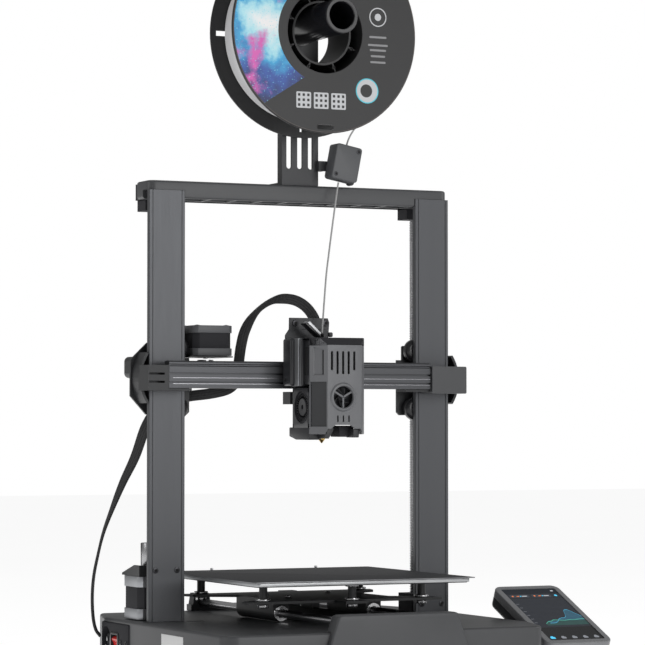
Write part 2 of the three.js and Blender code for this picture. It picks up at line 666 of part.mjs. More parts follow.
function extruderBody() {
  const core = box(-28, 21, -58.6, -28.8, 288.4, 335.6);
  const front = box(-25, 24, -74, -58.4, 290, 332);
  const skin = box(-28, -24, -59.2, -58, 290, 334);
  const rib = box(-31, -27, -56, -41, 288.2, 335.6);
  const motor = box(-35.2, -27, -48, -28.8, 288.8, 335.4);
  const entry = cylinder('z', NOZZLE.x, NOZZLE.y, 1.7, 325, 337, 12);
  return less(join(core, front, skin, rib, motor), entry);
}

function blower() {
  const body = box(-28, -17.6, -75.2, -36.4, 247.4, 286.6);
  const mouth = cylinder('x', -57.6, 268.1, 15.2, -29, -18.8, 32);
  const duct = prism('yz', [[-74, 236.2], [-44, 236.2], [-29, 239.4], [-29, 248.2],
    [-75.2, 248.2], [-75.2, 240]],
    -28, -14.4);
  return join(less(body, mouth), duct, cylinder('x', -57.6, 268.1, 2, -26, -17.9, 12));
}

function impeller() {
  return turned('x', -57.6, 268.1, [
    [2.4, -27.4], [8.8, -27.4], [8.8, -21], [11.6, -21], [11.6, -27.4], [14.6, -27.4], [14.6, -19.4],
    [2.4, -19.4], [2.4, -27.4],
  ], 28);
}

function hotendFan() {
  const hub = turned('y', 0, 277.6, [[0, -89.6], [4, -89.6], [4, -84], [0, -84]], 24);
  const blades = [];
  for (let i = 0; i < 7; i += 1) {
    const blade = box(3, 9.8, -88.2, -85.4, -1.1, 1.1);
    blades.push(blade.rotate([0, (i * 360) / 7, 0]).translate([0, 0, 277.6]));
  }
  return join(hub, ...blades);
}

function hotend() {
  const { x, y, tip } = NOZZLE;
  const sink = box(-11, 11, -57.5, -33, 254, 288);
  const neck = cylinder('z', x, y, 3.5, 247, 255, 16);
  const heater = box(-9, 10, -54, -37, 240.6, 249);
  const nozzle = turned('z', x, y, [[0, tip], [0.5, tip], [3.4, tip + 3.2], [3.4, 241], [0, 241]], 20);
  return join(sink, neck, heater, nozzle);
}

function lever() {
  const bar = prism('xz', [[-6.4, 336.4], [-2, 337.4], [-17.6, 351.6], [-21.6, 350.2]], -54, -42);
  return join(bar, cylinder('y', -4, 338.6, 2.4, -54, -42, 16));
}

// ---------------------------------------------------------------- bed
function bedCarriage() {
  const { bottom, top } = CARRIAGE_Z;
  const outline = [
    [-104, -100], [104, -100], [104, -86], [66, -60], [62, 20], [100, 42], [104, 58], [-104, 58], [-100, 42],
    [-62, 20], [-66, -60], [-104, -86],
  ];
  const plate = prism('xy', outline, bottom, top);
  const tongue = box(-12, 12, -124, -98, bottom, top);
  const posts = [[-85, -93], [85, -93], [0, -112], [-88, 50], [88, 50]].map(
    ([x, y]) => cylinder('z', x, y, 4, top - 0.5, BED.slabBottom - GAP, 16));
  const wraps = both((s) => less(
    join(
      cylinder('y', s * ROD.x, ROD.z, 8.3, -58, 30, 24),
      box(s * ROD.x - 8.3, s * ROD.x + 8.3, -58, 30, ROD.z, bottom + 0.4),
    ),
    cylinder('y', s * ROD.x, ROD.z, ROD.r + GAP, -60, 32, 20),
  ));
  const clamp = box(1, 10, -19, 5, 63, bottom + 0.4)
    .subtract(box(YBELT.r - YBELT.half - GAP, YBELT.r + YBELT.half + GAP, -20, 6, 62, YBELT.z1 + GAP));
  return join(plate, tongue, ...posts, ...wraps, clamp);
}

function heatedBed() {
  const { front, back, slabBottom, slabTop } = BED;
  const slabBody = roundedPrism('xy', -113.5, 113.5, front + 3.7, back + 4.4, 4, slabBottom, slabTop);
  const pegs = both((s) => cylinder('z', s * 58.5, BED.back + 2.2, 1.6, BED.slabTop - 0.5, 105.4, 12));
  return join(slabBody, ...pegs);
}

function buildPlate() {
  const { halfX, front, back, top, sheet } = BED;
  return roundedPrism('xy', -halfX, halfX, front, back, 3, top - sheet, top);
}

function rearRodHolder() {
  const bar = box(-62, 62, 136, 148, BASE.top + GAP, 66);
  const ends = both((s) => prism('xz', [[s * ROD.x - 11, 60], [s * ROD.x + 11, 60], [s * ROD.x + 8, 77.6],
    [s * ROD.x - 8, 77.6]], 136, 148));
  const bores = both((s) => cylinder('y', s * ROD.x, ROD.z, ROD.r + GAP, 135, ROD.back + GAP, 16));
  return less(join(bar, ...ends), ...bores);
}

function yPulley() {
  return turned('z', 0, YBELT.back, [
    [2.8, 60.6], [7, 60.6], [7, 63.6], [4, 63.6], [4, 70.8], [7, 70.8], [7, 71.8], [2.8, 71.8], [2.8, 60.6],
  ], 20);
}

function yBelt() {
  const { front, back, r, half, z0, z1 } = YBELT;
  const path = [...arc(0, front, r, 180, 360), ...arc(0, back, r, 0, 180)];
  return band('xy', path, half, z0, z1);
}

// ---------------------------------------------------------------- assembly
function assembly(name, parts) {
  const group = new THREE.Group();
  group.name = name;
  for (const [partName, solid, material] of parts) {
    const mesh = new THREE.Mesh(toGeometry(solid), material);
    mesh.name = partName;
    group.add(mesh);
  }
  return group;
}

const inner = UPRIGHT.x - UPRIGHT.half + WHEEL.fromEdge;
const outer = UPRIGHT.x + UPRIGHT.half - WHEEL.fromEdge;

const printer = new THREE.Group();
printer.name = 'fdm_printer';
printer.add(
  assembly('base_group', [
    ['base_shell', baseShell(), DARK_PLASTIC()],
    ['base_floor', baseFloor(), BLACK_PLASTIC()],
    ['nose_cover', nose(), DARK_PLASTIC()],
    ['power_inlet', inlet(), BLACK_PLASTIC()],
    ['power_rocker', rocker(), finish(0xc02020, 0.4)],
    ['power_supply', box(-140, -30, 40, 140, 9, 50), STEEL()],
    ['y_motor', stepper(0, YBELT.back, 12, 55.4, 73), BLACK_PLASTIC()],
    ['screen_case', screenCase(), DARK_PLASTIC()],
    ['screen_glass', screenGlass(), finish(0x101216, 0.12)],
  ]),
  assembly('frame_group', [
    ['upright_left', upright(-1), DARK_ANODISED()],
    ['upright_right', upright(1), DARK_ANODISED()],
    ['top_beam', topBeam(), DARK_ANODISED()],
    ['z_belt_cover', zBeltCover(), BLACK_PLASTIC()],
    ['z_belt', zBelt(), RUBBER()],
    ['lead_screw_left', leadScrew(-1), STEEL()],
    ['lead_screw_right', leadScrew(1), STEEL()],
    ['screw_coupler', coupler(), finish(0x9a9ca0, 0.35, 0.9)],
    ['z_motor', stepper(-SCREW.x, SCREW.y, 60, 102.3, 121.4), BLACK_PLASTIC()],
    ['z_motor_bracket', zMotorBracket(), BLACK_PLASTIC()],
    ['screw_foot', screwFoot(), BLACK_PLASTIC()],
  ]),
  assembly('spool_group', [
    ['spool_bracket', spoolBracket(), SHEET_STEEL()],
    ['spool_tube', spoolTube(), BLACK_PLASTIC()],
    ['spool', spool(), BLACK_PLASTIC()],
    ['winding', winding(), finish(0xc8c9cb, 0.6)],
    ['sensor_box', sensorBox(), GREY_PLASTIC()],
    ['filament_upper', cord(FILAMENT_UPPER, 0.875, 14), finish(0xb8b8b6, 0.5)],
    ['filament_lower', cord(FILAMENT_LOWER, 0.875, 24), finish(0xb8b8b6, 0.5)],
  ]),
  assembly('gantry_group', [
    ['x_beam', xBeam(), DARK_ANODISED()],
    ['left_carriage', leftCarriage(), SHEET_STEEL()],
    ['right_carriage', rightCarriage(), SHEET_STEEL()],
    ['tensioner_box', tensionerBox(), DARK_PLASTIC()],
    ['x_motor', stepper(XMOTOR.x, XMOTOR.y, XMOTOR.bottom, XMOTOR.top, 298.2), BLACK_PLASTIC()],
    ['x_pulley', xPulley(), STEEL()],
    ['x_idler', xIdler(), STEEL()],
    ['belt_guide', beltGuide(), STEEL()],
    ['x_belt', xBelt(), RUBBER()],
    ['wheel_left_upper', vWheel(-inner, GANTRY_Z + WHEEL_RISE), RUBBER()],
    ['wheel_left_lower', vWheel(-inner, GANTRY_Z - WHEEL_RISE), RUBBER()],
    ['wheel_left_outer', vWheel(-outer, GANTRY_Z), RUBBER()],
    ['wheel_right_upper', vWheel(inner, GANTRY_Z + WHEEL_RISE), RUBBER()],
    ['wheel_right_lower', vWheel(inner, GANTRY_Z - WHEEL_RISE), RUBBER()],
    ['wheel_right_outer', vWheel(outer, GANTRY_Z), RUBBER()],
    ['harness_arch', cord(HARNESS_ARCH, 4, 26), RUBBER()],
    ['harness_lower', cord(HARNESS_LOWER, 4, 44), RUBBER()],
  ]),
  assembly('head_group', [
    ['head_carriage', headCarriage(), SHEET_STEEL()],
    ['head_cover', headCover(), GREY_PLASTIC()],
    ['extruder_body', extruderBody(), BLACK_PLASTIC()],
    ['blower', blower(), BLACK_PLASTIC()],
    ['blower_impeller', impeller(), BLACK_PLASTIC()],
    ['hotend_fan', hotendFan(), BLACK_PLASTIC()],
    ['hotend', hotend(), finish(0xb08d3a, 0.35, 1)],
    ['extruder_lever', lever(), STEEL()],
  ]),
  assembly('bed_group', [
    ['y_rod_left', cylinder('y', -ROD.x, ROD.z, ROD.r, ROD.front, ROD.back, 20), STEEL()],
    ['y_rod_right', cylinder('y', ROD.x, ROD.z, ROD.r, ROD.front, ROD.back, 20), STEEL()],
    ['rear_rod_holder', rearRodHolder(), BLACK_PLASTIC()],
    ['y_pulley', yPulley(), STEEL()],
    ['y_belt', yBelt(), RUBBER()],
    ['bed_carriage', bedCarriage(), SHEET_STEEL()],
    ['heated_bed', heatedBed(), finish(0xb5b7ba, 0.4, 0.8)],
    ['build_plate', buildPlate(), finish(0x3c3c3f, 0.7)],
  ]),
);

printer.position.set(...PLACE);

export default printer;
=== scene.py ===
"""Looks of a desktop filament printer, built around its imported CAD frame."""

import logging
import math
from dataclasses import dataclass
from enum import Enum
from typing import Callable, Sequence

import bpy
from mathutils import Matrix, Vector


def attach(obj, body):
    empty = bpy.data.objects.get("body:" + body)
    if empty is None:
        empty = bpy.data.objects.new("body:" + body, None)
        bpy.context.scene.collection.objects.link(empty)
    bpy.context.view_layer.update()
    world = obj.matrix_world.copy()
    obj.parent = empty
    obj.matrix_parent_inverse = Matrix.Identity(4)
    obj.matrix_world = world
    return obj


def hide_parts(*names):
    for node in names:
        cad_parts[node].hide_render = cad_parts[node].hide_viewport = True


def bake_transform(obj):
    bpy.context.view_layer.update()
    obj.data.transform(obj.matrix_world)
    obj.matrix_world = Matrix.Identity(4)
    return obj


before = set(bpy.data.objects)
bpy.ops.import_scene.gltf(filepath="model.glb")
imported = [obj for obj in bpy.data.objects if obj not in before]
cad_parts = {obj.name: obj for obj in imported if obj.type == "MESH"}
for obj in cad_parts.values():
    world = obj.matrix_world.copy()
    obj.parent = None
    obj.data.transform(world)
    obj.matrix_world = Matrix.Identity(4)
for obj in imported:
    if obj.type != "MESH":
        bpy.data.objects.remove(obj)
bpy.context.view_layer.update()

LOG = logging.getLogger("printer")
PLACE = Vector((-32.8, 31.0, 0.0))
MM = 0.001
Piece = bpy.types.Object
Node = bpy.types.Node
Point = tuple[float, float, float]
Flat = tuple[float, float]


def at(x: float, y: float, z: float) -> Vector:
    """Place of a point in metres.

    Args:
        x: millimetres to the right of the middle of the uprights.
        y: millimetres behind the front face of the uprights.
        z: millimetres above the table.

    Returns:
        The point in the row frame.
    """
    return (Vector((x, y, z)) + PLACE) * MM


class Axis(Enum):
    """The three directions that a piece runs or turns along."""

    X = 0
    Y = 1
    Z = 2


class Carving(Enum):
    """What a tool does to a piece: it takes its own shape out, or leaves only that."""

    OUT = "DIFFERENCE"
    SHARED = "INTERSECT"


class Plane(Enum):
    """The plane that an outline is drawn in, named by its two axes."""

    XY = "xy"
    XZ = "xz"
    YZ = "yz"


# ------------------------------------------------------------------ finishes
class Nodes:
    """A material's node tree with short ways to add and join nodes."""

    def __init__(self, name: str) -> None:
        """Starts an empty tree with a shader and an output.

        Args:
            name: name of the new material.
        """
        self.material = bpy.data.materials.new(name)
        self.material.use_nodes = True
        self.tree = self.material.node_tree
        self.tree.nodes.clear()
        self.out = self.add("ShaderNodeOutputMaterial")
        self.shader = self.add("ShaderNodeBsdfPrincipled")
        self.join(self.shader, "BSDF", self.out, "Surface")
        self.coords = self.add("ShaderNodeTexCoord")

    def add(self, kind: str, **values: object) -> Node:
        """Adds a node and sets its inputs by name.

        Args:
            kind: Blender's name of the node type.
            values: input names with underscores for spaces, and their values.

        Returns:
            The new node.
        """
        node = self.tree.nodes.new(kind)
        for key, value in values.items():
            node.inputs[key.replace("_", " ")].default_value = value
        return node

    def join(self, a: Node, out: object, b: Node, into: object) -> None:
        """Joins output `out` of node `a` to input `into` of node `b`."""
        self.tree.links.new(a.outputs[out], b.inputs[into])

    def place(self, scale: Point = (1, 1, 1), source: str = "Object") -> Node:
        """Adds a mapping of the piece's own coordinates.

        Args:
            scale: scale along each axis.
            source: the coordinates it reads, Object or UV.

        Returns:
            The mapping.
        """
        mapping = self.add("ShaderNodeMapping")
        mapping.inputs["Scale"].default_value = scale
        self.join(self.coords, source, mapping, "Vector")
        return mapping

    def noise(self, scale: float, detail: float, vector: Node) -> Node:
        """Adds a noise texture.

        Args:
            scale: its scale.
            detail: its detail.
            vector: mapping that it is read through.

        Returns:
            The texture.
        """
        node = self.add("ShaderNodeTexNoise", Scale=scale, Detail=detail, Roughness=0.55)
        self.join(vector, "Vector", node, "Vector")
        return node

    def ramp(self, stops: Sequence[tuple[float, Sequence[float]]]) -> Node:
        """Adds a colour ramp.

        Args:
            stops: each stop's position and colour.

        Returns:
            The ramp.
        """
        node = self.add("ShaderNodeValToRGB")
        points = node.color_ramp.elements
        while len(points) < len(stops):
            points.new(0.5)
        for point, (position, colour) in zip(points, stops):
            point.position = position
            point.color = (*colour[:3], 1.0)
        return node

    def span(self, low: float, high: float) -> Node:
        """Adds a range change from 0..1 to low..high and returns it."""
        return self.add("ShaderNodeMapRange", To_Min=low, To_Max=high)

    def math(self, kind: str, first: tuple[Node, str], by: float,
             plus: tuple[Node, str]) -> Node:
        """Adds two outputs, the first one scaled.

        Args:
            kind: the sum's kind in Blender's words.
            first: a node and its output.
            by: what the first is multiplied by.
            plus: a node and its output.

        Returns:
            The sum.
        """
        node = self.add("ShaderNodeMath")
        node.operation = kind
        node.inputs[1].default_value = by
        self.join(*first, node, 0)
        self.join(*plus, node, 2)
        return node

    def relief(self, source: Node, out: object, strength: float, depth: float) -> Node:
        """Adds a bump driven by a node's output and joins it to the shader.

        Args:
            source: node that drives the bump.
            out: its output.
            strength: strength of the bump.
            depth: depth of the bump in metres.

        Returns:
            The bump.
        """
        bump = self.add("ShaderNodeBump", Strength=strength, Distance=depth)
        self.join(source, out, bump, "Height")
        self.join(bump, "Normal", self.shader, "Normal")
        return bump


class Surface:
    """A finish whose material is built once and found again by its name."""

    name: str

    def make(self) -> bpy.types.Material:
        """Builds the material, or finds the one already built.

        Returns:
            The material.
        """
        known = bpy.data.materials.get(self.name)
        if known:
            return known
        nodes = Nodes(self.name)
        self.dress(nodes)
        return nodes.material

    def dress(self, nodes: Nodes) -> None:
        """Fills the material's node tree, which each finish does in its own way."""
        raise NotImplementedError


@dataclass(frozen=True)
class Finish(Surface):
    """A plain finish: a tint that varies a little, with a fine grain.

    Attributes:
        name: name of the material.
        tint: middle colour.
        rough: middle roughness.
        metal: metalness.
        mottle: share by which the tint varies.
        grain: grains per metre of the surface's texture.
        relief: strength of the texture's relief.
        depth: depth of the relief in metres.
        stretch: scale of the texture along each axis.
        coat: weight of a clear coat.
    """

    name: str
    tint: Point
    rough: float
    metal: float = 0.0
    mottle: float = 0.10
    grain: float = 1400.0
    relief: float = 0.12
    depth: float = 0.00006
    stretch: Point = (1.0, 1.0, 1.0)
    coat: float = 0.0

    def dress(self, nodes: Nodes) -> None:
        """Fills the material's node tree."""
        mapping = nodes.place(self.stretch)
        broad = nodes.noise(22.0, 3.0, mapping)
        fine = nodes.noise(self.grain, 2.0, mapping)
        low = [c * (1 - self.mottle) for c in self.tint]
        high = [min(1.0, c * (1 + self.mottle)) for c in self.tint]
        ramp = nodes.ramp([(0.3, low), (0.7, high)])
        nodes.join(broad, "Fac", ramp, "Fac")
        nodes.join(ramp, "Color", nodes.shader, "Base Color")
        spread = nodes.span(max(0.04, self.rough - 0.07), min(1.0, self.rough + 0.07))
        nodes.join(fine, "Fac", spread, "Value")
        nodes.join(spread, "Result", nodes.shader, "Roughness")
        nodes.shader.inputs["Metallic"].default_value = self.metal
        nodes.shader.inputs["Coat Weight"].default_value = self.coat
        nodes.relief(fine, "Fac", self.relief, self.depth)


@dataclass(frozen=True)
class Glow(Surface):
    """A lit colour of the screen."""

    name: str
    tint: Point
    strength: float = 1.0

    def dress(self, nodes: Nodes) -> None:
        """Fills the material's node tree."""
        mapping = nodes.place()
        noise = nodes.noise(160.0, 1.0, mapping)
        ramp = nodes.ramp([(0.2, [c * 0.88 for c in self.tint]), (0.8, self.tint)])
        nodes.join(noise, "Fac", ramp, "Fac")
        nodes.join(ramp, "Color", nodes.shader, "Base Color")
        nodes.join(ramp, "Color", nodes.shader, "Emission Color")
        nodes.shader.inputs["Emission Strength"].default_value = self.strength
        nodes.shader.inputs["Roughness"].default_value = 0.5
        nodes.shader.inputs["Specular IOR Level"].default_value = 0.15


@dataclass(frozen=True)
class Ribbed(Surface):
    """A finish with even ridges across one axis, as on wound strands or a belt.

    Attributes:
        name: name of the material.
        tint: colour on the ridges.
        low: colour between them, painted shade in the grooves.
        pitch: distance between ridges in metres.
        axis: axis that the ridges follow one another along.
        rough: roughness.
        relief: strength of the ridges.
        depth: depth of the ridges in metres.
        metal: metalness.
    """

    name: str
    tint: Point
    low: Point
    pitch: float
    axis: Axis = Axis.Y
    rough: float = 0.45
    relief: float = 0.8
    depth: float = 0.0004
    metal: float = 0.0

    def dress(self, nodes: Nodes) -> None:
        """Fills the material's node tree."""
        mapping = nodes.place()
        wave = nodes.add("ShaderNodeTexWave", Scale=math.tau / (20.0 * self.pitch), Distortion=0.6,
                         Detail=1.0)
        wave.inputs["Detail Scale"].default_value = 0.4
        wave.bands_direction = self.axis.name
        wave.wave_profile = "SIN"
        nodes.join(mapping, "Vector", wave, "Vector")
        # Painted shade and highlight: the low stop darkens the grooves and the top stop lightens the crests
        # as painted sheen.
        ramp = nodes.ramp([(0.0, self.low), (0.45, self.tint),
                           (1.0, [min(1.0, c * 1.08) for c in self.tint])])
        nodes.join(wave, "Fac", ramp, "Fac")
        nodes.join(ramp, "Color", nodes.shader, "Base Color")
        nodes.shader.inputs["Roughness"].default_value = self.rough
        nodes.shader.inputs["Metallic"].default_value = self.metal
        nodes.relief(wave, "Fac", self.relief, self.depth)


@dataclass(frozen=True)
class Braid(Surface):
    """A braided sleeve: two sets of strands that cross, read from the piece's own UV map, with painted glints
    and shade on the weave.
    """

    name: str
    tint: Point
    low: Point

    def dress(self, nodes: Nodes) -> None:
        """Fills the material's node tree."""
        mapping = nodes.place(source="UV")
        mapping.inputs["Rotation"].default_value = (0.0, 0.0, math.radians(45))
        # Painted light: the checker lightens and darkens alternate cells of the weave, as painted glints on
        # the strands and painted shade between them.
        check = nodes.add("ShaderNodeTexChecker", Scale=1.0)
        nodes.join(mapping, "Vector", check, "Vector")
        noise = nodes.noise(0.6, 2.0, mapping)
        mix = nodes.add("ShaderNodeMath")
        mix.operation = "MULTIPLY_ADD"
        mix.inputs[1].default_value = 0.7
        nodes.join(check, "Fac", mix, 0)
        nodes.join(noise, "Fac", mix, 2)
        ramp = nodes.ramp([(0.35, self.low), (1.1, self.tint)])
        nodes.join(mix, "Value", ramp, "Fac")
        nodes.join(ramp, "Color", nodes.shader, "Base Color")
        nodes.shader.inputs["Roughness"].default_value = 0.6
        nodes.relief(mix, "Value", 0.6, 0.0003)


@dataclass(frozen=True)
class CloudArt(Surface):
    """Printed clouds of blue, violet and white light on a dark ground."""

    name: str

    def dress(self, nodes: Nodes) -> None:
        """Fills the material's node tree."""
        mapping = nodes.place()
        mapping.inputs["Location"].default_value = tuple(-c for c in at(-62, -53, 640))
        warp = nodes.noise(38.0, 6.0, mapping)
        puffs = nodes.noise(26.0, 7.0, mapping)
        specks = nodes.noise(620.0, 1.0, mapping)
        far = nodes.add("ShaderNodeVectorMath")
        far.operation = "LENGTH"
        nodes.join(mapping, "Vector", far, 0)
        reach = nodes.math("MULTIPLY_ADD", (warp, "Fac"), 0.075, (far, "Value"))
        glow = nodes.ramp([
            (0.040, (1.0, 1.0, 1.0)), (0.060, (0.45, 0.85, 0.95)), (0.070, (0.04, 0.42, 0.75)),
            (0.085, (0.03, 0.10, 0.42)), (0.105, (0.015, 0.025, 0.13)),
        ])
        nodes.join(reach, "Value", glow, "Fac")
        rosy = nodes.ramp([(0.56, (0, 0, 0)), (0.66, (1, 1, 1))])
        nodes.join(puffs, "Fac", rosy, "Fac")
        blend = nodes.add("ShaderNodeMixRGB")
        blend.inputs[2].default_value = (0.75, 0.12, 0.50, 1.0)
        nodes.join(rosy, "Color", blend, 0)
        nodes.join(glow, "Color", blend, 1)
        dust = nodes.ramp([(0.66, (0, 0, 0)), (0.70, (0.8, 0.8, 0.8))])
        nodes.join(specks, "Fac", dust, "Fac")
        spray = nodes.add("ShaderNodeMixRGB")
        spray.inputs[2].default_value = (0.25, 0.80, 0.90, 1.0)
        nodes.join(dust, "Color", spray, 0)
        nodes.join(blend, "Color", spray, 1)
        nodes.join(spray, "Color", nodes.shader, "Base Color")
        nodes.shader.inputs["Roughness"].default_value = 0.35


@dataclass(frozen=True)
class SpeckledSheet(Surface):
    """The build plate's textured coating."""

    name: str
    tint: Point

    def dress(self, nodes: Nodes) -> None:
        """Fills the material's node tree."""
        mapping = nodes.place()
        cells = nodes.add("ShaderNodeTexVoronoi", Scale=1500.0)
        nodes.join(mapping, "Vector", cells, "Vector")
        ramp = nodes.ramp([(0.0, [c * 1.5 for c in self.tint]), (0.5, self.tint)])
        nodes.join(cells, "Distance", ramp, "Fac")
        nodes.join(ramp, "Color", nodes.shader, "Base Color")
        nodes.shader.inputs["Roughness"].default_value = 0.55
        nodes.relief(cells, "Distance", 0.35, 0.00015)


CASE = Finish("moulded_case", (0.066, 0.068, 0.072), 0.38, mottle=0.05, grain=2600, relief=0.10)
# Dark moulded plastic; the head's scoop panel also uses it as painted shade.
DARK_CASE_AND_SHADE = Finish("moulded_case_dark", (0.030, 0.031, 0.034), 0.42, mottle=0.08)
COVER = Finish("head_cover_grey", (0.15, 0.153, 0.162), 0.33, mottle=0.04, grain=2400, relief=0.08)
BLACK = Finish("black_plastic", (0.016, 0.016, 0.018), 0.42, mottle=0.15)
BLACK_GLOSS = Finish("black_gloss", (0.010, 0.010, 0.012), 0.18, mottle=0.1, relief=0.03)
# Painted shade: near-black put in screw sockets, slits, vents and slots, where only shade falls.
PAINTED_SHADE = Finish("shadow_gap", (0.004, 0.004, 0.004), 0.8, mottle=0.2)
ANODISED = Finish("anodised_grey", (0.094, 0.097, 0.104), 0.36, 0.55, 0.05, 900, 0.12, 0.00005, (1, 1, 0.02))
ANODISED_X = Finish("anodised_grey_beam", (0.080, 0.082, 0.088), 0.34, 0.6, 0.05, 900, 0.12, 0.00005,
                    (0.02, 1, 1))
# Painted highlight: bright metal strips on the black X beam stand in for glints along its groove edges.
BRIGHT = Finish("bright_rail", (0.34, 0.34, 0.36), 0.25, 0.9, 0.06, 900, 0.1, 0.00004, (0.02, 1, 1))
SHEET = Finish("powder_black", (0.028, 0.029, 0.031), 0.40, 0.15, 0.12, 1800, 0.30)
SHEET_GREY = Finish("powder_grey", (0.038, 0.039, 0.042), 0.38, 0.2, 0.08, 1800, 0.25)
STEEL = Finish("ground_steel", (0.52, 0.52, 0.53), 0.20, 1.0, 0.06, 700, 0.10, 0.00003, (1, 0.03, 1))
STEEL_Z = Finish("turned_steel", (0.46, 0.46, 0.47), 0.26, 1.0, 0.06, 700, 0.10, 0.00003, (1, 1, 0.1))
SILVER = Finish("motor_cap", (0.42, 0.43, 0.45), 0.36, 0.7, 0.06, 1200, 0.2)
SCREW = Finish("screw_black", (0.05, 0.05, 0.055), 0.30, 0.7, 0.1)
SCREW_BRIGHT = Finish("screw_bright", (0.55, 0.55, 0.56), 0.22, 1.0, 0.1)
RUBBER = Finish("rubber", (0.012, 0.012, 0.013), 0.72, mottle=0.2, grain=900, relief=0.2)
WHEEL_PLASTIC = Finish("wheel_plastic", (0.016, 0.016, 0.018), 0.28, mottle=0.1)
BRASS = Finish("brass", (0.70, 0.48, 0.16), 0.28, 1.0, 0.1)
SILICONE = Finish("silicone", (0.03, 0.03, 0.032), 0.6, mottle=0.15)
RED = Finish("rocker_red", (0.72, 0.03, 0.025), 0.25, mottle=0.05, relief=0.03, coat=0.4)
LABEL = Finish("plain_label", (0.80, 0.80, 0.80), 0.5, mottle=0.02, relief=0.05)
GLASS = Finish("screen_front", (0.006, 0.007, 0.009), 0.25, mottle=0.1, relief=0.0)
STRAND = Finish("filament_strand", (0.42, 0.42, 0.42), 0.35, mottle=0.05, grain=500)
BED_METAL = Finish("bed_aluminium", (0.50, 0.51, 0.52), 0.36, 0.85, 0.06, 900, 0.15)
PALE = Finish("pale_print", (0.62, 0.63, 0.65), 0.4, mottle=0.03)
WOUND = Ribbed("wound_filament", (0.86, 0.86, 0.87), (0.62, 0.62, 0.63), 0.00175, relief=0.25)
BELT = Ribbed("toothed_belt", (0.022, 0.022, 0.023), (0.006, 0.006, 0.006), 0.002, Axis.X, 0.6)
SLEEVE = Braid("braided_sleeve", (0.040, 0.040, 0.042), (0.004, 0.004, 0.004))
NEBULA = CloudArt("cloud_print")
PLATE = SpeckledSheet("plate_texture", (0.036, 0.037, 0.040))

REEL = Finish("reel_black", (0.022, 0.022, 0.023), 0.42, mottle=0.06)
LABEL_LINE = Finish("rim_line", (0.10, 0.085, 0.08), 0.5)
PALE_DIM = Finish("pale_print_dim", (0.30, 0.30, 0.31), 0.5, mottle=0.05)
CYAN_PRINT = Finish("cyan_print", (0.10, 0.62, 0.75), 0.5, mottle=0.05)
# Pale metal of the lever's top strip, painted brighter as a highlight.
LEVER_METAL_AND_HIGHLIGHT = Finish("polished_lever", (0.75, 0.76, 0.78), 0.42, 0.4, 0.04)
MOTOR_GREY = Finish("motor_grey", (0.10, 0.103, 0.11), 0.4, mottle=0.05)
SENSOR_GREY = Finish("sensor_grey", (0.085, 0.088, 0.094), 0.40, mottle=0.05)
BLACK_SATIN = Finish("satin_black", (0.024, 0.025, 0.028), 0.30, mottle=0.08)
STRIP_GREY = Finish("strip_grey", (0.13, 0.133, 0.14), 0.40, 0.2, mottle=0.05)
EDGE_STEEL = Finish("plate_edge", (0.30, 0.30, 0.31), 0.35, 0.8, 0.1)
FRAME_GREY = Finish("screen_frame_grey", (0.22, 0.223, 0.232), 0.36, mottle=0.04)
PAGE_BAR = Glow("page_bar", (0.012, 0.014, 0.018))
PAGE_ROW = Glow("page_row", (0.020, 0.022, 0.026))
PAGE_CHART = Glow("page_chart", (0.022, 0.024, 0.029))
PAGE_PILL = Glow("page_pill", (0.035, 0.038, 0.046))
PAGE_RULE = Glow("page_rule", (0.028, 0.030, 0.036))
PAGE_DIM = Glow("page_dim", (0.20, 0.21, 0.23), 0.8)
PAGE_WHITE = Glow("page_white", (0.45, 0.47, 0.50), 0.8)
PAGE_BLUE = Glow("page_blue", (0.08, 0.50, 0.75), 0.9)
PAGE_ORANGE = Glow("page_orange", (0.62, 0.17, 0.06), 0.9)
PAGE_GREEN = Glow("page_green", (0.07, 0.32, 0.24), 0.9)
PAGE_GREEN_FILL = Glow("page_green_fill", (0.025, 0.055, 0.052))
PAGE_BLUE_LINE = Glow("page_blue_line", (0.06, 0.26, 0.38), 0.9)
PAGE_BLUE_FILL = Glow("page_blue_fill", (0.028, 0.075, 0.11))

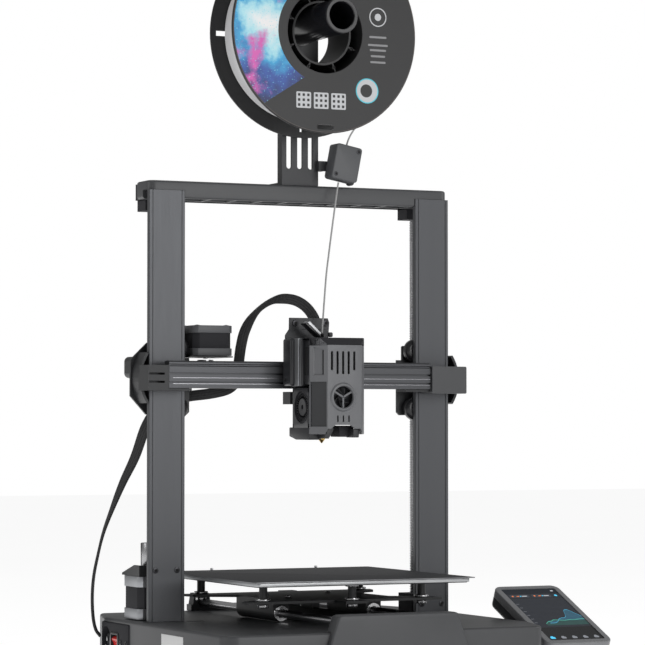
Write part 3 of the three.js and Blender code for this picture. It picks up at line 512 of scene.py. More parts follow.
# ------------------------------------------------------------------ modelling
class Shop:
    """Modelling steps that every sub-assembly uses. Sizes are in millimetres."""

    def clear(self) -> None:
        """Leaves edit mode and selects nothing."""
        if bpy.context.object and bpy.context.mode != "OBJECT":
            bpy.ops.object.mode_set(mode="OBJECT")
        bpy.ops.object.select_all(action="DESELECT")

    def pick(self, *pieces: Piece) -> None:
        """Selects pieces, with the last one active.

        Args:
            pieces: the pieces.
        """
        self.clear()
        for piece in pieces:
            piece.select_set(True)
        bpy.context.view_layer.objects.active = pieces[-1]

    def settle(self, name: str) -> Piece:
        """Names the active piece and puts its place into its mesh.

        Args:
            name: the piece's name.

        Returns:
            The piece.
        """
        piece = bpy.context.object
        bpy.ops.object.transform_apply(location=True, rotation=True, scale=True)
        piece.name = name
        piece.data.name = name
        return piece

    def block(self, name: str, low: Point, high: Point, soft: float = 0.0, steps: int = 2) -> Piece:
        """Makes a box between two corners.

        Args:
            name: the piece's name.
            low: lowest corner.
            high: highest corner.
            soft: radius of its edges.
            steps: faces across each edge.

        Returns:
            The box.
        """
        self.clear()
        a, b = at(*low), at(*high)
        bpy.ops.mesh.primitive_cube_add(size=1.0, location=(a + b) / 2)
        bpy.context.object.scale = b - a
        piece = self.settle(name)
        if soft:
            self.soften(piece, soft, steps)
        return piece

    def rod(
        self, name: str, axis: Axis, centre: Point, radius: float, length: float,
        soft: float = 0.0, sides: int = 40, tip: float | None = None,
    ) -> Piece:
        """Makes a cylinder or cone around a point.

        Args:
            name: the piece's name.
            axis: direction it runs along.
            centre: its middle.
            radius: its radius.
            length: its length.
            soft: radius of its rims.
            sides: faces round it.
            tip: radius at its high end, where it differs.

        Returns:
            The cylinder.
        """
        self.clear()
        turn = {Axis.X: (0.0, math.pi / 2, 0.0), Axis.Y: (-math.pi / 2, 0.0, 0.0),
                Axis.Z: (0.0, 0.0, 0.0)}[axis]
        bpy.ops.mesh.primitive_cone_add(
            vertices=sides, radius1=radius * MM, radius2=(radius if tip is None else tip) * MM,
            depth=length * MM, location=at(*centre), rotation=turn,
        )
        piece = self.settle(name)
        if soft:
            self.soften(piece, soft, 2)
        else:
            self.smooth(piece)
        return piece

    def outline(
        self, name: str, plane: Plane, points: Sequence[Flat], low: float, high: float,
        soft: float = 0.0, steps: int = 2,
    ) -> Piece:
        """Makes a solid from a flat outline pushed along the third axis.

        Args:
            name: the piece's name.
            plane: plane that the outline lies in.
            points: the outline's corners in order.
            low: where the solid starts along the third axis.
            high: where it ends.
            soft: radius of its sharp edges.
            steps: faces across each edge.

        Returns:
            The solid.
        """
        self.clear()
        bpy.ops.mesh.primitive_circle_add(vertices=len(points), radius=1.0, fill_type="NGON")
        order = {Plane.XY: lambda u, v: (u, v, low), Plane.XZ: lambda u, v: (u, low, v),
                 Plane.YZ: lambda u, v: (low, u, v)}[plane]
        for vertex, (u, v) in zip(bpy.context.object.data.vertices, points):
            vertex.co = at(*order(u, v))
        step = {Plane.XY: (0, 0, 1), Plane.XZ: (0, 1, 0), Plane.YZ: (1, 0, 0)}[plane]
        bpy.ops.object.mode_set(mode="EDIT")
        bpy.ops.mesh.select_all(action="SELECT")
        bpy.ops.mesh.extrude_region_move(
            TRANSFORM_OT_translate={"value": Vector(step) * (high - low) * MM})
        bpy.ops.mesh.select_all(action="SELECT")
        bpy.ops.mesh.normals_make_consistent(inside=False)
        bpy.ops.object.mode_set(mode="OBJECT")
        piece = self.settle(name)
        if soft:
            self.soften(piece, soft, steps)
        return piece

    def lathe(
        self, name: str, axis: Axis, centre: Flat, profile: Sequence[Flat], steps: int = 64,
    ) -> Piece:
        """Turns a closed profile about an axis.

        Args:
            name: the piece's name.
            axis: the axis it turns about.
            centre: the axis's place in the other two coordinates.
            profile: corners as (radius, place along the axis).
            steps: faces round it.

        Returns:
            The turned piece.
        """
        self.clear()
        bpy.ops.mesh.primitive_circle_add(vertices=len(profile), radius=1.0, fill_type="NOTHING")
        a, b = centre
        spots: dict[Axis, Callable[[float, float], Point]] = {
            Axis.X: lambda r, t: (t, a + r, b), Axis.Y: lambda r, t: (a + r, t, b), Axis.Z: lambda r,
            t: (a + r, b, t),
        }
        for vertex, (r, t) in zip(bpy.context.object.data.vertices, profile):
            vertex.co = at(*spots[axis](r, t))
        middle = at(*spots[axis](0.0, 0.0))
        line = [0.0, 0.0, 0.0]
        line[axis.value] = 1.0
        bpy.ops.object.mode_set(mode="EDIT")
        bpy.ops.mesh.select_all(action="SELECT")
        bpy.ops.mesh.spin(steps=steps, angle=math.tau, center=middle, axis=line)
        bpy.ops.mesh.select_all(action="SELECT")
        bpy.ops.mesh.remove_doubles(threshold=0.000002)
        bpy.ops.mesh.select_all(action="SELECT")
        bpy.ops.mesh.dissolve_degenerate(threshold=0.000002)
        bpy.ops.mesh.select_all(action="SELECT")
        bpy.ops.mesh.normals_make_consistent(inside=False)
        bpy.ops.object.mode_set(mode="OBJECT")
        piece = self.settle(name)
        self.smooth(piece)
        return piece

    def mesh(
        self, name: str, points: Sequence[Point], faces: Sequence[Sequence[int]],
    ) -> Piece:
        """Makes a piece from corners and faces, shaded smooth.

        Args:
            name: the piece's name.
            points: the corners.
            faces: the corners of each face, by number.

        Returns:
            The piece.
        """
        self.clear()
        data = bpy.data.meshes.new(name)
        data.from_pydata([at(*p) for p in points], [], faces)
        piece = bpy.data.objects.new(name, data)
        bpy.context.scene.collection.objects.link(piece)
        self.smooth(piece)
        return piece

    def smooth(self, piece: Piece, degrees: float = 35.0) -> None:
        """Shades a piece smooth, except over edges sharper than the angle."""
        self.pick(piece)
        bpy.ops.object.shade_smooth_by_angle(angle=math.radians(degrees))

    def soften(self, piece: Piece, width: float, steps: int = 2, degrees: float = 30.0) -> None:
        """Rounds a piece's sharp edges.

        Args:
            piece: the piece.
            width: size of the rounding.
            steps: faces across it.
            degrees: edges flatter than this stay as they are.
        """
        self.pick(piece)
        modifier = piece.modifiers.new("soft", "BEVEL")
        modifier.width = width * MM
        modifier.segments = steps
        modifier.limit_method = "ANGLE"
        modifier.angle_limit = math.radians(degrees)
        modifier.use_clamp_overlap = True
        bpy.ops.object.modifier_apply(modifier=modifier.name)
        bpy.ops.object.shade_smooth_by_angle(angle=math.radians(38))

    def carve(self, piece: Piece, tool: Piece, how: Carving) -> None:
        """Shapes a piece with a tool and removes the tool.

        Args:
            piece: the piece.
            tool: the solid that shapes it.
            how: whether the tool's shape goes or stays.
        """
        self.pick(piece)
        modifier = piece.modifiers.new("carve", "BOOLEAN")
        modifier.operation = how.value
        modifier.solver = "EXACT"
        modifier.object = tool
        bpy.ops.object.modifier_apply(modifier=modifier.name)
        bpy.data.objects.remove(tool, do_unlink=True)

    def cut(self, piece: Piece, *tools: Piece) -> Piece:
        """Takes tools out of a piece.

        Args:
            piece: the piece.
            tools: the solids taken out of it, which are removed.

        Returns:
            The piece.
        """
        for tool in tools:
            self.carve(piece, tool, Carving.OUT)
        self.smooth(piece)
        return piece

    def turn(self, piece: Piece, pivot: Vector, degrees: float, axis: Axis) -> Piece:
        """Turns a piece about a point, in its mesh.

        Args:
            piece: the piece.
            pivot: the point, in metres.
            degrees: how far it turns.
            axis: direction of the axis it turns about.

        Returns:
            The piece.
        """
        turn = Matrix.Rotation(math.radians(degrees), 4, axis.name)
        piece.data.transform(Matrix.Translation(pivot) @ turn @ Matrix.Translation(-pivot))
        return piece

    def copy(self, piece: Piece, name: str, shift: Point) -> Piece:
        """Makes a copy with its own mesh.

        Args:
            piece: the piece.
            name: the copy's name.
            shift: how far it is moved along each axis.

        Returns:
            The copy.
        """
        twin = piece.copy()
        twin.data = piece.data.copy()
        twin.name = name
        twin.data.name = name
        bpy.context.scene.collection.objects.link(twin)
        twin.data.transform(Matrix.Translation(Vector(shift) * MM))
        return twin

    def keep(self, piece: Piece, tool: Piece) -> Piece:
        """Keeps only what a piece shares with a tool.

        Args:
            piece: the piece.
            tool: the solid, which is removed.

        Returns:
            The piece.
        """
        self.carve(piece, tool, Carving.SHARED)
        return piece

    def repair(self, piece: Piece) -> None:
        """Merges a mesh's doubled corners and turns its faces outwards.

        Args:
            piece: the piece.
        """
        self.pick(piece)
        bpy.ops.object.mode_set(mode="EDIT")
        bpy.ops.mesh.select_all(action="SELECT")
        bpy.ops.mesh.remove_doubles(threshold=0.000002)
        bpy.ops.mesh.select_all(action="SELECT")
        bpy.ops.mesh.normals_make_consistent(inside=False)
        bpy.ops.object.mode_set(mode="OBJECT")

    def paint(self, piece: Piece, finish: Surface) -> Piece:
        """Gives a piece one finish all over.

        Args:
            piece: the piece.
            finish: its finish.

        Returns:
            The piece.
        """
        piece.data.materials.clear()
        piece.data.materials.append(finish.make())
        return piece

    def unite(self, name: str, pieces: Sequence[Piece]) -> Piece:
        """Joins painted pieces into one, which keeps each one's finish.

        Args:
            name: the new piece's name.
            pieces: the pieces, with the main one last.

        Returns:
            The joined piece.
        """
        self.pick(*pieces)
        bpy.ops.object.join()
        piece = bpy.context.object
        piece.name = name
        piece.data.name = name
        return piece

    def fit(
        self, piece: Piece, body: str, stands_for: Sequence[str] = (),
    ) -> Piece:
        """Puts a finished piece on a body.

        Args:
            piece: the finished piece.
            body: the body it moves with.
            stands_for: CAD nodes that it hides.

        Returns:
            The piece.
        """
        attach(piece, body)
        if stands_for:
            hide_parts(*stands_for)
        LOG.info("%s rides on %s", piece.name, body)
        return piece

    def screw(self, name: str, axis: Axis, centre: Point, radius: float, proud: float, out: int = -1,
              finish: Surface = SCREW) -> Piece:
        """Makes a round screw head with a hexagon socket painted near-black as shade.

        Args:
            name: the piece's name.
            axis: axis of the screw.
            centre: middle of the head's seat.
            radius: radius of the head.
            proud: height of the head.
            out: side that the head faces, 1 or -1.
            finish: finish of the head.

        Returns:
            The head.
        """
        middle = list(centre)
        middle[axis.value] += out * proud / 2
        head = self.rod(name, axis, tuple(middle), radius, proud, soft=radius * 0.14, sides=28)
        self.paint(head, finish)
        deep = list(centre)
        deep[axis.value] += out * (proud + 0.02)
        # The socket is a near-black disc: painted shade in its hollow.
        socket = self.rod(name + "_socket", axis, tuple(deep), radius * 0.5, 0.5, sides=6)
        self.paint(socket, PAINTED_SHADE)
        return self.unite(name, [socket, head])


def arc(cx: float, cy: float, r: float, start: float, end: float, steps: int = 8) -> list[Flat]:
    """Finds the points of an arc.

    Args:
        cx: place of its middle across.
        cy: place of its middle upwards.
        r: its radius.
        start: angle that it starts at, in degrees.
        end: angle that it ends at, in degrees.
        steps: stretches in it.

    Returns:
        The points.
    """
    turn = [math.radians(start + (end - start) * i / steps) for i in range(steps + 1)]
    return [(cx + r * math.cos(t), cy + r * math.sin(t)) for t in turn]


def rounded(plan: Sequence[Point], steps: int = 8) -> list[Flat]:
    """Rounds the corners of a plan.

    Args:
        plan: corners anticlockwise, each with its radius third.
        steps: stretches in each arc.

    Returns:
        The outline.
    """
    points: list[Flat] = []
    for i, (x, y, r) in enumerate(plan):
        before, after = plan[i - 1], plan[(i + 1) % len(plan)]
        a = Vector((x - before[0], y - before[1])).normalized()
        b = Vector((after[0] - x, after[1] - y)).normalized()
        turn = math.degrees(math.acos(max(-1.0, min(1.0, a.dot(b)))))
        reach = r * math.tan(math.radians(turn / 2))
        cx, cy = x - a.x * reach - a.y * r, y - a.y * reach + a.x * r
        start = math.degrees(math.atan2(-a.x, a.y))
        points += arc(cx, cy, r, start, start + turn, steps)
    return points


def rounded_box(u0: float, u1: float, v0: float, v1: float, r: float, steps: int = 6) -> list[Flat]:
    """Outline of a rectangle with round corners."""
    return rounded([(u0, v0, r), (u1, v0, r), (u1, v1, r), (u0, v1, r)], steps)


SHOP = Shop()


# ------------------------------------------------------------------ studio
@dataclass
class Studio:
    """Camera, lights, floor and surroundings."""

    eye: Point = (-1248.7, -2648.2, 253.1)
    yaw: float = 25.64
    pitch: float = 1.95
    lens: float = 163.78

    def build(self) -> None:
        """Sets up the whole studio."""
        self.camera()
        self.floor()
        self.lights()
        self.surroundings()

    def camera(self) -> None:
        """Adds the camera."""
        data = bpy.data.cameras.new("camera")
        data.lens = self.lens
        data.sensor_width = 36.0
        data.clip_end = 50.0
        camera = bpy.data.objects.new("camera", data)
        bpy.context.scene.collection.objects.link(camera)
        camera.location = at(*self.eye)
        camera.rotation_euler = (math.radians(90 + self.pitch), 0.0, math.radians(-self.yaw))
        bpy.context.scene.camera = camera

    def floor(self) -> None:
        """Adds the pale floor."""
        SHOP.clear()
        bpy.ops.mesh.primitive_plane_add(size=14.0, location=(0, 0, -0.0005))
        floor = SHOP.settle("floor")
        nodes = Nodes("floor")
        mapping = nodes.place()
        noise = nodes.noise(3.0, 2.0, mapping)
        ramp = nodes.ramp([(0.3, (0.28, 0.28, 0.28)), (0.7, (0.30, 0.30, 0.30))])
        nodes.join(noise, "Fac", ramp, "Fac")
        nodes.join(ramp, "Color", nodes.shader, "Base Color")
        nodes.shader.inputs["Roughness"].default_value = 0.9
        nodes.shader.inputs["Specular IOR Level"].default_value = 0.1
        nodes.shader.inputs["Emission Color"].default_value = (1, 1, 1, 1)
        nodes.shader.inputs["Emission Strength"].default_value = 0.86
        floor.data.materials.append(nodes.material)

    def lights(self) -> None:
        """Adds the soft boxes."""
        self.softbox("key", (500, -2000, 700), (0, 0, 250), 1000, 9.0)
        self.softbox("fill", (1500, -700, 900), (0, 0, 250), 900, 4.0)
        self.softbox("left", (-1700, 100, 800), (0, 0, 400), 700, 2.5)
        self.softbox("top", (0, 300, 2000), (0, 0, 300), 1300, 6.0)

    def softbox(self, name: str, spot: Point, aim: Point, size: float, power: float) -> None:
        """Adds one square light.

        Args:
            name: the light's name.
            spot: where it hangs.
            aim: what it points at.
            size: its side.
            power: its power in watts.
        """
        data = bpy.data.lights.new(name, "AREA")
        data.size = size * MM
        data.energy = power
        light = bpy.data.objects.new(name, data)
        bpy.context.scene.collection.objects.link(light)
        light.location = at(*spot)
        light.rotation_euler = (at(*aim) - at(*spot)).to_track_quat("-Z", "Y").to_euler()

    def surroundings(self) -> None:
        """Fills the background with white."""
        world = bpy.data.worlds.new("white")
        world.use_nodes = True
        tree = world.node_tree
        tree.nodes["Background"].inputs["Color"].default_value = (1, 1, 1, 1)
        rays = tree.nodes.new("ShaderNodeLightPath")
        span = tree.nodes.new("ShaderNodeMapRange")
        span.inputs["To Min"].default_value = 0.27
        span.inputs["To Max"].default_value = 1.0
        tree.links.new(rays.outputs["Is Camera Ray"], span.inputs["Value"])
        tree.links.new(span.outputs["Result"], tree.nodes["Background"].inputs["Strength"])
        bpy.context.scene.world = world
        bpy.context.scene.view_settings.view_transform = "Standard"


# ------------------------------------------------------------------ base
BASE_PLAN = [
    (-174, -206, 16), (157, -206, 11), (174, -148, 20), (174, 94, 20), (157, 151, 9), (-157, 151, 9),
    (-174, 94, 20),
]


@dataclass
class Base:
    """The base case with its nose, power inlet and Y drive."""

    bottom: float = 4.0
    top: float = 59.15
    drive_y: float = 126.0
    idler_y: float = -188.0
    rod_x: float = 50.0
    rod_z: float = 68.0
    body: str = "base"

    def build(self) -> None:
        """Builds every piece of the base."""
        self.case()
        self.nose()
        self.inlet()
        self.drive()
        self.rods()

    def case(self) -> None:
        """Builds the case and its top recesses."""
        case = SHOP.outline("base_case", Plane.XY, rounded(BASE_PLAN, 10), self.bottom, self.top)
        SHOP.soften(case, 2.6, 4, 60)
        hole = SHOP.block("t1", (-180, 26.7, 17.7), (-160, 98.3, 55.3))
        shaft = SHOP.rod("t2", Axis.Z, (0, self.drive_y, self.top), 11.4, 20)
        slots = [SHOP.block(f"t{i}", (s * 118 - 9, -9, self.top - 2.5), (s * 118 + 9, -3, self.top + 2))
                 for i, s in ((3, -1), (4, 1))]
        SHOP.cut(case, hole, shaft, *slots)
        SHOP.paint(case, CASE)
        label = SHOP.block("side_label", (-174.35, -108, 14), (-173.9, -55, 52), 0.1)
        SHOP.paint(label, LABEL)
        post = SHOP.rod("front_idler", Axis.Z, (0, self.idler_y, 65.5), 4.2, 13.6, 0.6)
        SHOP.paint(post, STEEL)
        seat = SHOP.rod("front_idler_seat", Axis.Z, (0, self.idler_y, 60.2), 6, 3.0, 0.5)
        SHOP.paint(seat, BLACK)
        SHOP.fit(SHOP.unite("base_case", [label, post, seat, case]), self.body, ["base_shell"])

    def nose(self) -> None:
        """Builds the front cover over the rods' ends."""
        half, top, slope, low = 62.2, 75.4, 0.332, 12.0
        wide = half + slope * (top - low)
        shape = [(-wide, low), (wide, low), (half + slope * 5, top - 5)]
        shape += [(half + 0.4, top - 1.2), (half - 3.5, top), (-half + 3.5, top), (-half - 0.4, top - 1.2)]
        shape += [(-half - slope * 5, top - 5)]
        nose = SHOP.outline("nose", Plane.XZ, shape, -213, -196)
        SHOP.soften(nose, 1.8, 3, 50)
        SHOP.cut(nose, SHOP.block("t", (-120, -206.3, -5), (120, -190, self.top + 0.3)))
        SHOP.paint(nose, CASE)
        SHOP.fit(nose, self.body, ["nose_cover"])

    def inlet(self) -> None:
        """Builds the power inlet with its socket and its screws."""
        plate = SHOP.block("inlet", (-175.5, 27, 18), (-150, 98, 55), 1.4, 3)
        socket = SHOP.outline("t1", Plane.YZ, rounded([(75, 21, 3), (97, 21, 3), (97, 45, 7), (90, 50.5, 5),
                                                       (82, 50.5, 5), (75, 45, 7)]), -177, -159.5)
        recess = SHOP.block("t2", (-177, 54.7, 22.7), (-159.5, 70.3, 43.3))
        SHOP.cut(plate, socket, recess)
        SHOP.paint(plate, BLACK)
        core = SHOP.outline("core", Plane.YZ, rounded([(79, 25, 2), (93, 25, 2), (93, 43, 4), (79, 43, 4)]),
                            -171.5, -159.6, 0.4)
        SHOP.paint(core, BLACK)
        pins = [SHOP.block(f"pin{i}", (-174.5, y - 1, z - 2.2), (-171, y + 1, z + 2.2), 0.3)
                for i, (y, z) in enumerate(((82.0, 30.0), (90.0, 30.0), (86.0, 38.0)))]
        for pin in pins:
            SHOP.paint(pin, SCREW_BRIGHT)
        rim = SHOP.outline("rim", Plane.YZ, rounded_box(51, 74, 20, 46, 2.5), -176.3, -175.3, 0.4)
        SHOP.cut(rim, SHOP.block("t3", (-178, 54.5, 22.5), (-174, 70.5, 43.5)))
        SHOP.paint(rim, BLACK_GLOSS)
        screws = [SHOP.screw(f"s{i}", Axis.X, (-175.4, y, 36.5), 2.6, 0.9) for i,
                  y in enumerate((31.5, 46.0))]
        SHOP.fit(SHOP.unite("power_inlet_piece", [core, *pins, rim, *screws, plate]), self.body,
                 ["power_inlet"])

    def drive(self) -> None:
        """Builds the Y belt's pulley."""
        pulley = SHOP.lathe("y_pulley_piece", Axis.Z, (0, self.drive_y), [
            (2.8, 60.6), (7, 60.6), (7, 63.6), (4, 63.6), (4, 70.8), (7, 70.8), (7, 71.8), (2.8, 71.8)], 40)
        SHOP.paint(pulley, SCREW_BRIGHT)
        SHOP.fit(pulley, "y_drive", ["y_pulley"])

    def rods(self) -> None:
        """Builds the two guide rods."""
        for side, name in ((-1, "left"), (1, "right")):
            rod = SHOP.rod(f"guide_rod_{name}", Axis.Y, (side * self.rod_x, -27.5, self.rod_z), 4, 349, 0.5,
                           48)
            SHOP.paint(rod, STEEL)
            SHOP.fit(rod, self.body, [f"y_rod_{name}"])


# ------------------------------------------------------------------ frame
@dataclass
class Portal:
    """Top beam, lead screws, Z motor and their holders."""

    x: float = 146.0
    y: float = 41.0
    body: str = "base"

    def build(self) -> None:
        """Builds every piece of the portal."""
        self.beam()
        self.screws()
        self.motor()
        self.coupler()
        self.fixings()

    def beam(self) -> None:
        """Builds the top beam with its pockets."""
        plan = rounded([(-165, 1, 8), (165, 1, 8), (165, 38, 8), (-165, 38, 8)], 8)
        beam = SHOP.outline("top_beam_piece", Plane.XY, plan, 472.6, 490)
        SHOP.soften(beam, 2.4, 4, 60)
        seats = [SHOP.block(f"s{i}", (min(a, b), -1, 470), (max(a, b), 16.8, 480.8))
                 for i, (a, b) in enumerate(((-170, -126.7), (126.7, 170)))]
        channel = SHOP.block("c", (-158, 31, 470), (158, 40, 487))
        pockets = [SHOP.block(f"p{i}", (-124 + i * 27.6, 4, 470),
                              (-99 + i * 27.6, 27.6, 478.6)) for i in range(9)]
        SHOP.cut(beam, *seats, channel, *pockets)
        SHOP.paint(beam, CASE)
        SHOP.fit(beam, self.body, ["top_beam"])

    def thread(self, name: str, x: float, low: float, high: float) -> Piece:
        """Builds a trapezoidal thread between two heights.

        Args:
            name: the piece's name.
            x: place of its axis.
            low: lower end.
            high: upper end.

        Returns:
            The threaded rod.
        """
        sides, pitch = 14, 2.6
        shape = ((4.0, 0.0), (4.0, 0.36), (3.35, 0.5), (3.35, 0.86))
        turns = int((high - low) / pitch)
        points: list[Point] = []
        faces: list[list[int]] = []
        for i in range(turns * sides + 1):
            angle = math.tau * i / sides
            base = low + pitch * i / sides
            for radius, part in shape:
                points.append((x + radius * math.cos(angle), self.y + radius * math.sin(angle),
                               min(base + part * pitch, high)))
        count = len(shape)
        for i in range(turns * sides):
            for k in range(count - 1):
                a, b = i * count + k, (i + 1) * count + k
                faces.append([a, b, b + 1, a + 1])
            wrap = i + sides
            if wrap + 1 <= turns * sides:
                a, b = i * count + count - 1, (i + 1) * count + count - 1
                faces.append([a, b, (wrap + 1) * count, wrap * count])
        rod = SHOP.mesh(name, points, faces)
        core = SHOP.rod(name + "_core", Axis.Z, (x, self.y, (low + high) / 2), 3.3, high - low + 0.6, 0.2, 24)
        SHOP.paint(rod, STEEL_Z)
        SHOP.paint(core, STEEL_Z)
        return SHOP.unite(name, [core, rod])

    def screws(self) -> None:
        """Builds the two lead screws with their top pulleys."""
        for side, low in ((-1, 123.5), (1, 67.4)):
            name = "left" if side < 0 else "right"
            thread = self.thread(f"thread_{name}", side * self.x, low, 474.0)
            pulley = SHOP.lathe(f"pulley_{name}", Axis.Z, (side * self.x, self.y), [
                (0, 474.2), (8.4, 474.2), (8.4, 475.6), (7, 475.6), (7, 485), (4, 485), (4, 486), (0, 486)],
                36)
            SHOP.paint(pulley, SCREW_BRIGHT)
            whole = SHOP.unite(f"thread_{name}", [pulley, thread])
            SHOP.fit(whole, f"screw_{name}", [f"lead_screw_{name}"])

    def motor(self) -> None:
        """Builds the Z motor."""
        motor = stepper("z_motor_piece", -self.x, self.y, 60.0, 102.3, 121.4)
        SHOP.fit(motor, self.body, ["z_motor"])

    def coupler(self) -> None:
        """Builds the coupler with its clamp screws."""
        sleeve = SHOP.rod("coupler_piece", Axis.Z, (-self.x, self.y, 123.05), 10, 22.9, 0.8, 48)
        SHOP.cut(sleeve, SHOP.rod("t", Axis.Z, (-self.x, self.y, 130), 4.2, 12))
        SHOP.paint(sleeve, STEEL_Z)
        heads = [SHOP.screw(f"h{i}", Axis.Y, (-self.x - 5, self.y - 8.6, z), 1.8, 1.2, -1)
                 for i, z in enumerate((116.5, 129.5))]
        # The clamp's slit is a near-black block: painted shade in the gap.
        slit = SHOP.block("slit", (-self.x - 10.1, self.y - 0.5, 112), (-self.x - 4, self.y + 0.5, 134))
        SHOP.paint(slit, PAINTED_SHADE)
        SHOP.fit(SHOP.unite("coupler_piece", [*heads, slit, sleeve]), "screw_left", ["screw_coupler"])

    def fixings(self) -> None:
        """Builds the screw heads of the uprights and of the motor bracket."""
        spots = [(-157.7, 109.2), (-135.2, 109.2), (134.3, 69.0), (156.8, 69.0)]
        heads = [SHOP.screw(f"f{i}", Axis.Y, (x, 0.1, z), 3.0, 0.7) for i, (x, z) in enumerate(spots)]
        SHOP.fit(SHOP.unite("upright_screws", heads), self.body)


def stepper(
    name: str, x: float, y: float, low: float, high: float, shaft: float, caps: Surface = SILVER,
) -> Piece:
    """Builds a stepper motor with its two caps, boss, shaft and screws.

    Args:
        name: the piece's name.
        x: place of its axis.
        y: place of its axis.
        low: lower face.
        high: upper face.
        shaft: far end of the shaft.
        caps: finish of its two end caps.

    Returns:
        The motor.
    """
    half, cap = 21.15, (high - low) * 0.25

    def chamfered(h: float, c: float) -> list[Flat]:
        """Outline of a square of half side h with its corners cut by c."""
        return [(x - h + c, y - h), (x + h - c, y - h), (x + h, y - h + c), (x + h, y + h - c),
                (x + h - c, y + h), (x - h + c, y + h), (x - h, y + h - c), (x - h, y - h + c)]

    parts = []
    for i, (a, b) in enumerate(((low, low + cap), (high - cap, high))):
        part = SHOP.outline(f"{name}_cap{i}", Plane.XY, chamfered(half, 4.4), a, b, 0.5)
        parts.append(SHOP.paint(part, caps))
    body = SHOP.outline(f"{name}_stack", Plane.XY, chamfered(half - 0.7, 5.6), low + cap, high - cap, 0.2)
    parts.append(SHOP.paint(body, BLACK))
    up = shaft > high
    boss_z = high + 0.6 if up else low - 0.5
    parts.append(SHOP.paint(SHOP.rod(f"{name}_boss", Axis.Z, (x, y, boss_z), 10.8, 1.5, 0.2), SILVER))
    a, b = (high, shaft) if up else (shaft, low)
    parts.append(SHOP.paint(SHOP.rod(f"{name}_shaft", Axis.Z, (x, y, (a + b) / 2), 2.5, b - a, 0.2, 24),
                            STEEL_Z))
    far = low if up else high
    for i, (sx, sy) in enumerate(((-1, -1), (1, -1), (1, 1), (-1, 1))):
        parts.append(SHOP.screw(f"{name}_screw{i}", Axis.Z, (x + sx * 15.5, y + sy * 15.5, far), 2.6, 0.4,
                                -1 if up else 1, SCREW_BRIGHT))
    plug = SHOP.block(f"{name}_plug", (x - 8, y + half - 2, low + 1), (x + 8, y + half - 0.2, low + 7), 0.5)
    parts.append(SHOP.paint(plug, PALE))
    return SHOP.unite(name, parts[::-1])


